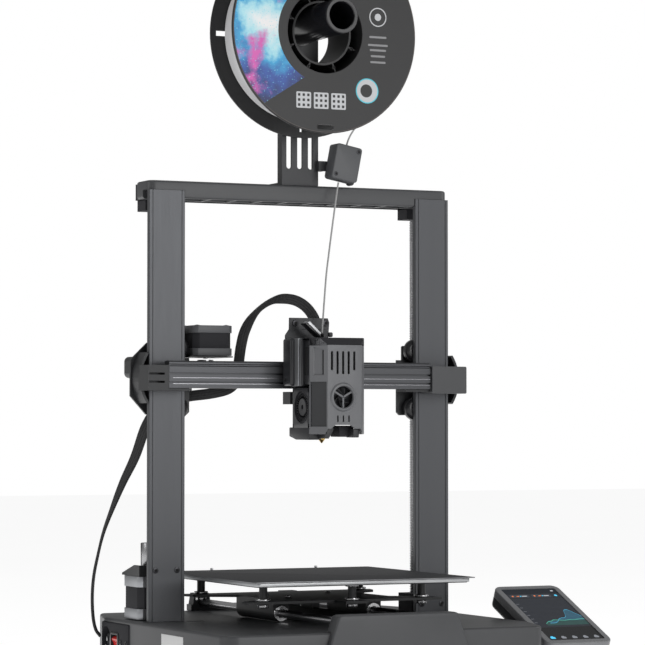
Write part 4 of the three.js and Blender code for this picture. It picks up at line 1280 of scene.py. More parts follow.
# ------------------------------------------------------------------ spool
@dataclass
class Spool:
    """The spool of filament with its tube, its wound strand and the run-out sensor."""

    z: float = 637.5
    r: float = 100.0
    front: float = -53.0
    back: float = 3.0
    disc: float = 2.5
    hole: float = 40.5
    wound: float = 85.0
    bore: float = 29.9
    ribs: int = 8

    def build(self) -> None:
        """Builds every piece around the spool."""
        self.reel()
        self.winding()
        self.tube()
        self.sensor()

    def spin(self, piece: Piece, degrees: float) -> Piece:
        """Turns a piece about the spool's axis in its mesh."""
        return SHOP.turn(piece, at(0, 0, self.z), degrees, Axis.Y)

    def reel(self) -> None:
        """Builds the two flanges, the hub with its ribs, and the printed front."""
        hole, r, front, back, disc, bore = self.hole, self.r, self.front, self.back, self.disc, self.bore
        shell = SHOP.lathe("reel", Axis.Y, (0, self.z), [
            (hole, front + 0.5), (hole + 0.5, front), (r - 0.7, front), (r, front + 0.7), (r, front + disc),
            (hole + 2, front + disc), (hole + 2, back - disc), (r, back - disc), (r, back - 0.7),
            (r - 0.7, back),
            (bore, back), (bore, front + 8), (bore + 2, front + 8), (bore + 2, back - disc),
            (hole, back - disc)], 120)
        slots = [self.spin(SHOP.block(f"slot{i}", (82, back - disc - 1, self.z - 2.6),
                                      (94, back + 1, self.z + 2.6)),
                           90 * i) for i in range(4)]
        slots.append(SHOP.outline("grip", Plane.XZ,
                                  [(x, z + self.z - 94) for x, z in rounded_box(-9, 9, -2.4, 2.4, 2)],
                                  front - 1, front + disc + 0.2))
        SHOP.cut(shell, *slots)
        SHOP.paint(shell, REEL)
        parts = []
        for i in range(self.ribs):
            web = SHOP.block(f"web{i}", (bore + 1, front + 9, self.z - 0.7),
                             (hole + 1, back - 1, self.z + 0.7))
            bead = SHOP.rod(f"bead{i}", Axis.Y, ((bore + hole) / 2 + 1, (front + back) / 2 + 3, self.z), 1.7,
                            44, 0.2, 16)
            for part in (web, bead):
                parts.append(SHOP.paint(self.spin(part, 22.5 + 45 * i), REEL))
        parts += self.print_front()
        SHOP.fit(SHOP.unite("reel", [*parts, shell]), "spool", ["spool"])

    def decal(self, name: str, points: Sequence[Flat], finish: Surface, layer: int = 0) -> Piece:
        """Makes a thin printed patch on the front flange.

        Args:
            name: the patch's name.
            points: its outline about the spool's axis.
            finish: its finish.
            layer: how many patches it lies on.

        Returns:
            The patch.
        """
        y = self.front - 0.08 - 0.06 * layer
        patch = SHOP.outline(name, Plane.XZ, [(x, z + self.z) for x, z in points], y, self.front + 0.02)
        return SHOP.paint(patch, finish)

    def print_front(self) -> list[Piece]:
        """Builds the printed patches: clouds on one side and plain badges on the other.

        Returns:
            The patches.
        """
        clouds = arc(0, 0, 98.2, 98, 228, 44) + arc(0, 0, 51, 244, 98, 28)
        parts = [self.decal("clouds", clouds, NEBULA)]
        rim = arc(0, 0, 99.2, 0, 358, 90) + arc(0, 0, 98.6, 358, 0, 90)
        parts.append(self.decal("rim_line", rim, LABEL_LINE))
        for i, x in enumerate((-23.5, -4.5, 14.5)):
            parts.append(self.decal(f"tile{i}", rounded_box(x - 8, x + 8, -76, -60, 1.2, 3), PALE))
            for k in range(9):
                u, v = x - 5 + 5 * (k % 3), -73 + 5 * (k // 3)
                parts.append(self.decal(f"dot{i}_{k}",
                                        rounded_box(u - 1.3, u + 1.3, v - 1.3, v + 1.3, 0.4, 2), REEL, 1))
        badge = [(x + 58, z + 18) for x, z in arc(0, 0, 9.5, 0, 358, 40) + arc(0, 0, 8.4, 358, 0, 40)]
        parts.append(self.decal("badge_ring", badge, PALE))
        parts.append(self.decal("badge_dot", [(x + 58, z + 18) for x, z in arc(0, 0, 3.6, 0, 345, 24)], PALE))
        for i, (z, half) in enumerate(((-2, 9.5), (-10, 11), (-15, 9), (-21, 8), (-27, 8.5))):
            bar = rounded_box(58 - half, 58 + half, z - 1.0, z + 1.0, 0.9, 3)
            parts.append(self.decal(f"bar{i}", bar, PALE_DIM))
        disc = [(x + 46, z - 56) for x, z in arc(0, 0, 12.5, 0, 350, 40)]
        parts.append(self.decal("disc_edge", disc, CYAN_PRINT))
        parts.append(self.decal("disc_face", [(x + 46, z - 56) for x, z in arc(0, 0, 11.4, 0, 350, 40)], PALE,
                                1))
        parts.append(self.decal("disc_core", [(x + 45, z - 56) for x, z in arc(0, 0, 6.5, 0, 350, 32)], REEL,
                                2))
        return parts

    def winding(self) -> None:
        """Builds the wound filament."""
        y0, y1 = self.front + self.disc + 0.3, self.back - self.disc - 0.3
        r = self.wound
        profile = [(42.8, y0), (r - 1, y0)]
        turns = 28
        pitch = (y1 - y0) / turns
        for i in range(turns):
            y = y0 + pitch * i
            profile += [(r - 0.6, y + pitch * 0.06), (r, y + pitch * 0.5), (r - 0.6, y + pitch * 0.94)]
        profile += [(r - 1, y1), (42.8, y1)]
        wound = SHOP.lathe("wound_strand", Axis.Y, (0, self.z), profile, 120)
        SHOP.paint(wound, WOUND)
        SHOP.fit(wound, "spool", ["winding"])

    def tube(self) -> None:
        """Builds the tube that the spool hangs on."""
        z, r, bore, front, back = 649.4, 17.5, 13.2, -91.0, 4.7
        tube = SHOP.lathe("tube", Axis.Y, (0, z), [
            (0, back - 3), (bore, back - 3), (bore, front + 0.8), (bore + 0.7, front), (r - 0.9, front),
            (r, front + 0.9), (r, back - 1.4), (r + 1.5, back - 1.4), (r + 1.5, back), (0, back)], 72)
        SHOP.paint(tube, BLACK_GLOSS)
        SHOP.fit(tube, "base", ["spool_tube"])

    def sensor(self) -> None:
        """Builds the run-out sensor's box with its screws and ferrules."""
        x, z, w, h, front, back, lean = 40.3, 512.4, 28.6, 35.5, -20.0, -2.0, 11.0
        box = SHOP.outline("sensor", Plane.XZ,
                           [(u + x, v + z) for u, v in rounded_box(-w / 2, w / 2, -h / 2, h / 2, 3)],
                           front, back)
        SHOP.soften(box, 1.0, 3, 60)
        SHOP.paint(box, SENSOR_GREY)
        parts = [SHOP.screw(f"sensor_screw{i}", Axis.Y, (x + s * 10.3, front, z + s * 13.4), 2.3, 0.35)
                 for i, s in enumerate((-1, 1))]
        for i, (u, v) in enumerate(((-0.6, h / 2), (-0.6, -h / 2))):
            ring = SHOP.rod(f"ferrule{i}", Axis.Z, (x + u, -11, z + v), 2.6, 1.0, 0.2, 20)
            parts.append(SHOP.paint(ring, BLACK))
        tab = SHOP.rod("tab", Axis.Y, (x + w / 2 - 1.2, -6, z - h / 2 + 1.5), 3.2, 7, 0.5, 24)
        parts.append(SHOP.paint(tab, BLACK))
        whole = SHOP.unite("sensor", [*parts, box])
        SHOP.turn(whole, at(x, 0, z), lean, Axis.Y)
        SHOP.fit(whole, "base", ["sensor_box"])


# ------------------------------------------------------------------ cords
@dataclass
class Cords:
    """The filament's free lengths and the flat harness."""

    upper: tuple[Point, ...] = (
        (43.9, -11, 531.2), (45.4, -13.5, 538), (48.6, -17, 545.5), (54.5, -21.5, 554.5), (62, -24.5, 566),
        (69, -25, 579), (74.2, -25, 593.4),
    )
    lower: tuple[Point, ...] = (
        (34.7, -11, 493.2), (31.6, -13.3, 481), (27.6, -16.8, 465), (21.5, -22.1, 440.5),
        (15.6, -27.4, 416.2),
        (11.8, -30.9, 400), (7.5, -35.8, 378), (3.5, -40.6, 356.2), (0.4, -44.3, 338), (0, -44.6, 326),
    )
    arch: tuple[Point, ...] = (
        (5.2, -20.9, 349), (2.6, -20.5, 357.6), (-3, -15, 367.6), (-10.7, -8, 374), (-20.6, -1, 376.1),
        (-31, 5, 373.8), (-41.8, 10, 366.3), (-50.3, 13, 355.8), (-56.5, 15, 342.9), (-59.8, 16, 328.9),
        (-61.4, 16.8, 316), (-62.3, 17, 306), (-62.4, 17, 301),
    )
    drop: tuple[Point, ...] = (
        (-62.4, 17, 300.4), (-62.6, 17.4, 297), (-65, 19, 292.1), (-72.3, 22, 285.7), (-87.2, 30, 281.7),
        (-104.6, 40, 279.2), (-119.3, 51, 275.3), (-131.7, 60, 265.4), (-141.3, 66, 248.7),
        (-149.5, 74, 218.8),
        (-160.5, 80, 192.3), (-169.6, 86, 165.7), (-176.2, 92, 142.4), (-180.3, 97, 119), (-182.8, 101, 98.9),
        (-183.1, 104, 78.8), (-181.4, 106, 58.7), (-178.6, 106, 46.3), (-174.2, 106, 40),
    )

    def build(self) -> None:
        """Builds every cord."""
        first = self.strand("filament_feed", self.upper)
        SHOP.fit(first, "base", ["filament_upper"])
        high = self.strand("filament_run", self.lower[:7])
        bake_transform(high)
        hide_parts("filament_lower")
        low = self.strand("filament_entry", self.lower[6:])
        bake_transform(low)
        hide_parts("filament_lower")
        self.harness_arch()
        self.harness_drop()

    def strand(self, name: str, points: Sequence[Point]) -> Piece:
        """Builds one round length of filament.

        Args:
            name: the piece's name.
            points: its route.

        Returns:
            The length.
        """
        line = curve_through(points, 8)
        piece = tube_along(name, line, [(1, 0, 0)] * len(line), 0.875, 0.875, 12)
        return SHOP.paint(piece, STRAND)

    def sleeve(self, name: str, route: Sequence[Point], face: Sequence[Point], node: str, to: str,
               start: Point, end: Point) -> None:
        """Builds one flat length of the harness between the gantry and another body.

        Args:
            name: the piece's name.
            route: points along its middle.
            face: direction of its wide side at each of those points.
            node: the CAD node it stands for.
            to: the other body; not used.
            start: where it leaves the gantry; not used.
            end: where it reaches the other body; not used.
        """
        line = curve_through(route, 10)
        piece = tube_along(name, line, curve_through(face, 10), 5.3, 1.5, 20)
        SHOP.paint(piece, SLEEVE)
        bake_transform(piece)
        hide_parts(node)

    def harness_arch(self) -> None:
        """Builds the harness over the head."""
        face = ((0.90, -0.42, 0.1), (0.88, -0.38, 0.3), (0.6, -0.3, 0.7), (0.25, -0.1, 0.95),
                (0.1, 0.3, 0.95),
                (0.1, 0.9, 0.5), (0.0, 0.95, 0.2), (-0.5, 0.8, -0.1), (-0.8, 0.5, -0.1), (-0.9, 0.35, 0),
                (-0.9, 0.3, 0), (-0.9, 0.3, 0), (-0.9, 0.3, 0))
        self.sleeve("harness_arch_sleeve", self.arch, face, "harness_arch", "print_head", self.arch[8],
                    self.arch[1])

    def harness_drop(self) -> None:
        """Builds the harness down to the base."""
        face = [(-0.9, 0.3, 0)] * 2 + [(-0.8, 0.4, 0.4), (-0.3, 0.3, 0.9)] + [(0, 0, 1)] * 3
        face += [(-0.6, 0.3, 0.75), (-0.75, 0.6, 0.3), (-0.55, 0.8, 0.2), (-0.25, 0.95, 0.2),
                 (0.1, 0.97, 0.15)]
        face += [(0.3, 0.95, 0.1), (0.4, 0.9, 0)] + [(0.43, 0.9, 0)] * 5
        self.sleeve("harness_drop_sleeve", self.drop, face, "harness_lower", "base", self.drop[4],
                    self.drop[-3])


def curve_through(points: Sequence[Point], steps: int) -> list[Point]:
    """Points of a smooth curve that passes through all of the given ones.

    Args:
        points: points to pass through.
        steps: new points for each stretch.

    Returns:
        The curve's points.
    """
    knots = [Vector(p) for p in points]
    line: list[Point] = []
    for i in range(len(knots) - 1):
        before = knots[i - 1] if i else knots[0] * 2 - knots[1]
        after = knots[i + 2] if i + 2 < len(knots) else knots[-1] * 2 - knots[-2]
        for k in range(steps):
            t = k / steps
            a, b = knots[i], knots[i + 1]
            spot = 0.5 * (2 * a + (b - before) * t + (2 * before - 5 * a + 4 * b - after) * t * t
                          + (3 * a - before - 3 * b + after) * t ** 3)
            line.append(tuple(spot))
    line.append(tuple(knots[-1]))
    return line


def tube_along(
    name: str, line: Sequence[Point], wide: Sequence[Point], half: float, thick: float, sides: int,
) -> Piece:
    """Builds a closed tube along a line, with a UV map in millimetres round it and along it.

    Args:
        name: the piece's name.
        line: the middle of the tube.
        wide: direction of its wide side at each point.
        half: half of its width.
        thick: half of its thickness.
        sides: faces round it.

    Returns:
        The tube.
    """
    points: list[Point] = []
    faces: list[list[int]] = []
    marks: list[float] = []
    run = 0.0
    for i, spot in enumerate(line):
        here = Vector(spot)
        if i:
            run += (here - Vector(line[i - 1])).length
        marks.append(run)
        way = (Vector(line[min(i + 1, len(line) - 1)]) - Vector(line[max(i - 1, 0)])).normalized()
        u = Vector(wide[i])
        u = (u - way * u.dot(way)).normalized()
        v = way.cross(u)
        for k in range(sides):
            angle = math.tau * k / sides
            c, s = math.cos(angle), math.sin(angle)
            flat = 0.6 if half > thick else 1.0
            points.append(tuple(here + u * half * math.copysign(abs(c) ** flat, c)
                                + v * thick * math.copysign(abs(s) ** flat, s)))
    for i in range(len(line) - 1):
        for k in range(sides):
            n = (k + 1) % sides
            a, b = i * sides, (i + 1) * sides
            faces.append([a + k, a + n, b + n, b + k])
    faces.append(list(range(sides))[::-1])
    faces.append([(len(line) - 1) * sides + k for k in range(sides)])
    piece = SHOP.mesh(name, points, faces)
    around = 2.2 * (half + thick)
    layer = piece.data.uv_layers.new(name="sleeve")
    for polygon in piece.data.polygons:
        for loop in polygon.loop_indices:
            vertex = piece.data.loops[loop].vertex_index
            ring, k = divmod(vertex, sides)
            closing = polygon.index % sides == sides - 1 and polygon.index < len(faces) - 2
            turn = 1.0 if k == 0 and closing else k / sides
            layer.data[loop].uv = (turn * around * 2, marks[ring])
    return piece


# ------------------------------------------------------------------ gantry
@dataclass
class Gantry:
    """The wheels, the X motor and painted glints along the X beam's grooves."""

    rise: float = 29.2
    z: float = 296.6
    near: float = 131.85
    far: float = 160.15
    wheel_y: float = 10.7

    def build(self) -> None:
        """Builds every piece of the gantry."""
        master = self.wheel()
        for side, s in (("left", -1), ("right", 1)):
            for row, x, z in (("upper", self.near, self.z + self.rise),
                              ("lower", self.near, self.z - self.rise),
                              ("outer", self.far, self.z)):
                wheel = SHOP.copy(master, f"roller_{side}_{row}", (s * x, 0, z))
                SHOP.fit(wheel, f"wheel_{side}_{row}_body", [f"wheel_{side}_{row}"])
        bpy.data.objects.remove(master, do_unlink=True)
        motor = stepper("x_motor_piece", -96, 21.5, 318.7, 348.6, 316.2, MOTOR_GREY)
        SHOP.fit(motor, "gantry", ["x_motor"])
        self.rail_glints()

    def wheel(self) -> Piece:
        """Builds one V wheel with its bearing, standing at x = z = 0.

        Returns:
            The wheel.
        """
        y, half, flat = self.wheel_y, 5.1, 2.8
        tyre = SHOP.lathe("roller", Axis.Y, (0, 0), [
            (6.6, y - half), (8.4, y - half), (11.8, y - flat), (12, y - flat + 0.4), (12, y + flat - 0.4),
            (11.8, y + flat), (8.4, y + half), (6.6, y + half), (6.6, y + half - 0.8), (6.6, y - half + 0.8)],
            56)
        SHOP.paint(tyre, WHEEL_PLASTIC)
        bearing = SHOP.lathe("bearing", Axis.Y, (0, 0), [
            (2.65, y - half + 0.3), (4.1, y - half + 0.3), (4.3, y - half + 0.8), (5.5, y - half + 0.8),
            (5.7, y - half + 0.3), (6.65, y - half + 0.3), (6.65, y + half - 0.3), (2.65, y + half - 0.3)],
            40)
        SHOP.paint(bearing, STEEL)
        return SHOP.unite("roller", [bearing, tyre])

    def rail_glints(self) -> None:
        """Builds bright strips along the X beam's grooves: painted glints where light catches their edges."""
        strips = [SHOP.block(f"strip{i}", (-150, -25.16, z), (131, -24.9, z + 0.5))
                  for i, z in enumerate((290.4, 296.2))]
        for strip in strips:
            SHOP.paint(strip, BRIGHT)
        SHOP.fit(SHOP.unite("beam_edges", strips), "gantry")


# ------------------------------------------------------------------ print head
@dataclass
class Head:
    """The print head: cover, extruder, fans, hot end and lever."""

    body: str = "print_head"
    fan_z: float = 277.6
    blower_axis: Flat = (-57.6, 268.1)
    nozzle_y: float = -44.6

    def build(self) -> None:
        """Builds every piece of the head."""
        self.cover()
        self.extruder()
        self.blower()
        self.impeller()
        self.fan()
        self.hotend()
        self.lever()
        self.bracket()

    def plan(self) -> list[Flat]:
        """Outline of the cover from above."""
        return [(-17, -93), (20, -93), (31, -76), (31, -60), (-28, -60), (-28, -76)]

    def cover(self) -> None:
        """Builds the cover with its slots, window, fan ring and dark top."""
        shell = SHOP.outline("cover", Plane.XY, self.plan(), 241.5, 335.5, 0.7, 3)
        inner = [(-15.6, -91.2), (18.6, -91.2), (29, -75), (29, -59), (-26, -59), (-26, -75)]
        tools = [SHOP.outline("inner", Plane.XY, inner, 240, 333.5)]
        tools.append(SHOP.outline("slope", Plane.YZ,
                                  [(-94, 328.4), (-93.2, 328.4), (-85.6, 335.0), (-59, 335.0),
                                                      (-59, 337), (-94, 337)], -40, 40))
        tools.append(SHOP.block("side", (-30, -75.2, 240), (-24, -58, 333.4)))
        scoop = [(-18.4, -93.2), (-29.5, -76.6), (-24.5, -75.0), (-15.2, -90.0)]
        tools.append(SHOP.outline("scoop", Plane.XY, scoop, 249.0, 292.5))
        mouth = [(-19, 240), (22, 240), (19, 247), (13, 247), (8, 250.6), (-8, 250.6), (-13, 247),
                 (-16.5, 247)]
        tools.append(SHOP.outline("mouth", Plane.XZ, mouth, -94, -84))
        for i in range(-2, 3):
            low = 303.5 if abs(i) == 2 else 299.8
            slot = rounded_box(i * 6 - 1.2, i * 6 + 1.2, low, 322.2, 1.15, 5)
            tools.append(SHOP.outline(f"vent{i}", Plane.XZ, slot, -94, -90))
        for i in range(-1, 2):
            slot = rounded_box(0.3 + i * 6 - 0.8, 0.3 + i * 6 + 0.8, 253.4, 260, 0.75, 4)
            tools.append(SHOP.outline(f"gill{i}", Plane.XZ, slot, -94, -90))
        tools.append(SHOP.outline("window", Plane.YZ,
                                  [(-89.5, 299), (-79.5, 299), (-79.5, 326.5), (-89.5, 323.5)],
                                  -29, -17.5))
        tools.append(SHOP.rod("port", Axis.Y, (0, -92, self.fan_z), 10.6, 6, sides=56))
        SHOP.cut(shell, *tools)
        SHOP.paint(shell, COVER)
        parts = [self.top_inlay(), *self.fan_ring(), *self.window_recess(), *self.inside()]
        SHOP.fit(SHOP.unite("cover", [*parts, shell]), self.body, ["head_cover"])

    def top_inlay(self) -> Piece:
        """Builds the dark strip over the cover's slope and top.

        Returns:
            The strip.
        """
        inlay = SHOP.outline("inlay", Plane.YZ,
                             [(-93.2, 328.4), (-92.6, 327.6), (-60.2, 327.6), (-60.2, 335.4),
                                                 (-85.6, 335.4)], -40, 40)
        SHOP.keep(inlay, SHOP.outline("bound", Plane.XY, self.plan(), 320, 340))
        side = SHOP.block("side_room", (-30, -75.2, 320), (-24, -58, 333.4))
        SHOP.cut(inlay, side)
        SHOP.paint(inlay, BLACK)
        return inlay

    def fan_ring(self) -> list[Piece]:
        """Builds the raised ring and the three spokes in front of the fan.

        Returns:
            The ring and the spokes.
        """
        ring = SHOP.lathe("fan_ring", Axis.Y, (0, self.fan_z), [
            (10.5, -92.2), (10.5, -93.8), (11.2, -94.6), (12.8, -94.4), (14.2, -93.0), (14.2, -92.2)], 72)
        SHOP.paint(ring, COVER)
        parts = [ring]
        for i, angle in enumerate((30, 150, 270)):
            spoke = SHOP.block(f"spoke{i}", (-0.4, -93.4, self.fan_z - 0.95), (11, -92.0, self.fan_z + 0.95),
                               0.3)
            SHOP.turn(spoke, at(0, 0, self.fan_z), -angle, Axis.Y)
            parts.append(SHOP.paint(spoke, COVER))
        return parts

    def window_recess(self) -> list[Piece]:
        """Builds the window's floor and its slot, a near-black strip of painted shade.

        Returns:
            The floor and the slot.
        """
        floor = SHOP.outline("window_floor", Plane.XY,
                             [(-19.2, -87.0), (-18.2, -88.0), (-24.2, -77.5), (-25.6, -77.5)],
                             298, 327)
        SHOP.paint(floor, COVER)
        # Painted shade: the slot is a near-black strip, not a hollow.
        slot = SHOP.outline("window_slot", Plane.XY,
                            [(-19.9, -88.0), (-18.0, -90.0), (-17.2, -89.0), (-19.2, -86.6)],
                            299.5, 323)
        return [floor, SHOP.paint(slot, PAINTED_SHADE)]

    def inside(self) -> list[Piece]:
        """Builds the dark housing behind the openings, painted shade in the scoop and behind the vent slots,
        and the guards at the mouth.

        Returns:
            The housing, the painted shade panels and the guards.
        """
        housing = SHOP.block("fan_housing", (-15.2, -84.6, 250.9), (17.5, -78, 293), 0.6)
        # Painted shade: a dark panel in the scoop and a near-black sheet behind the vent slots stand in for
        # the shade inside the cover.
        panel = SHOP.outline("scoop_panel", Plane.XY,
                             [(-16.4, -91.0), (-25.9, -76.6), (-25.0, -75.6), (-15.6, -89.6)],
                             242.5, 293.5)
        behind = SHOP.block("slot_backing", (-15.0, -88.6, 296), (18, -87.6, 326))
        parts = [SHOP.paint(housing, BLACK), SHOP.paint(panel, DARK_CASE_AND_SHADE), SHOP.paint(behind, PAINTED_SHADE)]
        for i, shape in enumerate((
            [(-17, 247), (-9.4, 249.6), (-8.6, 246), (-13.6, 237.4), (-18.2, 237.4)],
            [(12.6, 247), (20, 247), (18.6, 238.4), (12.6, 238.4)],
        )):
            guard = SHOP.outline(f"guard{i}", Plane.XZ, shape, -89.5, -74, 0.4)
            parts.append(SHOP.paint(guard, DARK_CASE_AND_SHADE))
        tray = SHOP.block("tray", (2, -80, 239), (18, -60, 250), 0.8)
        parts.append(SHOP.paint(tray, BLACK))
        return parts

    def extruder(self) -> None:
        """Builds the extruder's case with its vents, painted near-black as shade, and its bright strip."""
        core = SHOP.block("extruder", (-28, -58.6, 288.4), (21, -28.8, 335.6), 1.6, 3)
        SHOP.cut(core, SHOP.rod("entry", Axis.Z, (0, self.nozzle_y, 332), 1.7, 14, sides=20))
        SHOP.paint(core, BLACK_SATIN)
        front = SHOP.block("front", (-25, -74, 290), (24, -58.4, 332.5), 1.0)
        SHOP.paint(front, BLACK_SATIN)
        parts = [front]
        # The vents are near-black strips on the face: painted shade in the slots.
        for i in range(4):
            y = -70.4 + i * 3.2
            vent = SHOP.block(f"vent{i}", (-25.12, y, 299), (-24.8, y + 1.3, 326.5))
            parts.append(SHOP.paint(vent, PAINTED_SHADE))
        strip = SHOP.outline("strip", Plane.XY, [(-27.5, -41), (-27.5, -57), (-30.0, -55.6), (-31, -53.6),
                                                 (-31, -42.0), (-30, -41)],
                             288.4, 335.4, 0.3)
        parts.append(SHOP.paint(strip, STRIP_GREY))
        edge = SHOP.block("edge", (-30.9, -56.4, 288.6), (-29.6, -55.2, 335.2), 0.4)
        parts.append(SHOP.paint(edge, SILVER))
        drum = SHOP.block("drum", (-35.2, -48, 288.8), (-27, -28.8, 335.4), 2.6, 4)
        parts.append(SHOP.paint(drum, BLACK_SATIN))
        parts.append(SHOP.screw("drum_screw", Axis.X, (-35.2, -36, 294.2), 2.2, 0.4, -1))
        SHOP.fit(SHOP.unite("extruder", [*parts, core]), self.body, ["extruder_body"])

    def blower(self) -> None:
        """Builds the part-cooling blower's case and its duct."""
        case = SHOP.block("blower_case", (-28, -75.2, 247.4), (-17.6, -36.4, 286.6), 0.9, 2)
        tools = [SHOP.rod("mouth", Axis.X, (-24, *self.blower_axis), 15.2, 10.4, sides=72)]
        for i, (y, z) in enumerate(((-73.5, 284.4), (-38.2, 284.4), (-73.5, 249.6), (-38.2, 249.6))):
            tools.append(SHOP.block(f"notch{i}", (-28.6, y - 1.4, z - 2), (-26.4, y + 1.4, z + 2)))
        SHOP.cut(case, *tools)
        SHOP.paint(case, BLACK_SATIN)
        post = SHOP.rod("post", Axis.X, (-22, *self.blower_axis), 2, 8, 0.2, 20)
        duct = SHOP.outline("duct", Plane.YZ,
                            [(-74, 236.2), (-44, 236.2), (-29, 239.4), (-29, 248.2), (-75.2, 248.2),
                                               (-75.2, 240)], -28, -14.4, 0.8, 2)
        parts = [SHOP.paint(post, STEEL), SHOP.paint(duct, DARK_CASE_AND_SHADE)]
        lip = SHOP.lathe("lip", Axis.X, self.blower_axis,
                         [(15.1, -28.3), (16.3, -28.3), (16.5, -27.9), (15.1, -27.9)], 64)
        parts.append(SHOP.paint(lip, BLACK))
        SHOP.fit(SHOP.unite("blower_case", [*parts, case]), self.body, ["blower"])

    def impeller(self) -> None:
        """Builds the blower's wheel."""
        hub = SHOP.lathe("impeller", Axis.X, self.blower_axis, [
            (2.4, -27.2), (8.2, -27.4), (8.8, -26.8), (8.8, -20.4), (14.4, -20.4), (14.4, -19.4),
            (2.4, -19.4)], 48)
        SHOP.paint(hub, BLACK_SATIN)
        ring = SHOP.lathe("impeller_ring", Axis.X, self.blower_axis, [
            (13.6, -27.4), (14.6, -27.4), (14.6, -26.4), (13.6, -26.4)], 48)
        parts = [SHOP.paint(ring, BLACK)]
        count, half = 30, 0.25
        y, z = self.blower_axis
        for i in range(count):
            blade = SHOP.block(f"blade{i}", (-27.0, y + 10.6, z - half), (-20.0, y + 14.3, z + half))
            SHOP.turn(blade, at(0, y, z), 360 * i / count, Axis.X)
            parts.append(SHOP.paint(blade, DARK_CASE_AND_SHADE))
        SHOP.fit(SHOP.unite("impeller", [*parts, hub]), "cooling_impeller", ["blower_impeller"])

    def fan(self) -> None:
        """Builds the front fan's hub and its twisted blades, each a strip of four-cornered rings."""
        hub = SHOP.lathe("fan_hub", Axis.Y, (0, self.fan_z),
                         [(0, -89.6), (3.4, -89.6), (4, -89.0), (4, -84), (0, -84)], 40)
        SHOP.paint(hub, BLACK)
        parts = []
        count, rings, root, span, twist = 7, 4, 3.0, 6.8, 28
        for i in range(count):
            points: list[Point] = []
            for k in range(rings + 1):
                r = root + span * k / rings
                lean = math.radians(twist * k / rings)
                for t, y in ((-0.5, -88.2), (0.5, -85.2)):
                    for side in (-0.25, 0.25):
                        angle = lean + t * (3.2 / r) + side / r
                        points.append((r * math.cos(angle), y, self.fan_z + r * math.sin(angle)))
            faces = []
            for k in range(rings):
                a, b = 4 * k, 4 * k + 4
                for p, q in ((0, 1), (1, 3), (3, 2), (2, 0)):
                    faces.append([a + p, b + p, b + q, a + q])
            faces += [[0, 1, 3, 2], [16, 18, 19, 17]]
            blade = SHOP.mesh(f"fan_blade{i}", points, faces)
            SHOP.repair(blade)
            SHOP.turn(blade, at(0, 0, self.fan_z), 360 * i / count, Axis.Y)
            parts.append(SHOP.paint(blade, DARK_CASE_AND_SHADE))
        SHOP.fit(SHOP.unite("fan_wheel", [*parts, hub]), "front_fan", ["hotend_fan"])

    def hotend(self) -> None:
        """Builds the heat sink, the heater block in its sleeve and the nozzle."""
        fins = [SHOP.block(f"fin{i}", (-11, -57.5, 254 + i * 3.0), (11, -33, 255.4 + i * 3.0),
                           0.2) for i in range(11)]
        for fin in fins:
            SHOP.paint(fin, SILVER)
        core = SHOP.paint(SHOP.rod("core", Axis.Z, (0, self.nozzle_y, 271), 6, 33.6, 0.2), SILVER)
        neck = SHOP.paint(SHOP.rod("neck", Axis.Z, (0, self.nozzle_y, 251), 3.5, 8, 0.1, 24), STEEL)
        sock = SHOP.paint(SHOP.block("sock", (-9, -54, 240.6), (10, -37, 249), 1.0, 3), SILICONE)
        tip = SHOP.lathe("tip", Axis.Z, (0, self.nozzle_y),
                         [(0, 232.8), (0.5, 232.8), (1.2, 233.7), (3.0, 236.0), (3.4, 236.6),
                                                     (3.4, 241), (0, 241)], 36)
        SHOP.paint(tip, BRASS)
        hexagon = SHOP.paint(SHOP.rod("hex", Axis.Z, (0, self.nozzle_y, 238.7), 4.0, 2.6, 0.15, 6), BRASS)
        SHOP.fit(SHOP.unite("hot_end", [*fins, core, neck, sock, hexagon, tip]), self.body, ["hotend"])

    def lever(self) -> None:
        """Builds the release lever with its bright top: a pale metal strip, painted brighter as a highlight
        where light falls on it.
        """
        bar = SHOP.outline("lever", Plane.XZ, [(-7.0, 336.9), (-4.4, 337.2), (-19.6, 351.0), (-22.0, 350.0)],
                           -53.6, -42, 0.4)
        SHOP.paint(bar, BLACK_GLOSS)
        # Painted highlight: the strip is pale metal, painted brighter where light falls on its top face.
        strip = SHOP.outline("lever_strip", Plane.XZ,
                             [(-4.5, 337.2), (-1.6, 337.6), (-17.0, 352.0), (-19.6, 351.1)],
                             -54, -42, 0.2)
        SHOP.paint(strip, LEVER_METAL_AND_HIGHLIGHT)
        hinge = SHOP.paint(SHOP.rod("hinge", Axis.Y, (-4, -48, 338.6), 2.4, 12, 0.3, 28), BLACK_GLOSS)
        SHOP.fit(SHOP.unite("lever", [strip, hinge, bar]), "lever", ["extruder_lever"])

    def bracket(self) -> None:
        """Builds the screws and the clip on the head's back plate."""
        parts = [SHOP.screw(f"plate_screw{i}", Axis.Y, (x, -28.4, z), 3.3, 1.4)
                 for i, (x, z) in enumerate(((-21.0, 351.0), (12.0, 351.4)))]
        clip = SHOP.block("clip", (14.8, -30.4, 337.6), (19.6, -25.6, 342.4), 1.4, 3)
        parts.append(SHOP.paint(clip, DARK_CASE_AND_SHADE))
        line = SHOP.block("line", (-14, -28.6, 344.6), (12, -28.2, 345.2))
        parts.append(SHOP.paint(line, BLACK))
        SHOP.fit(SHOP.unite("plate_fixings", parts), self.body)


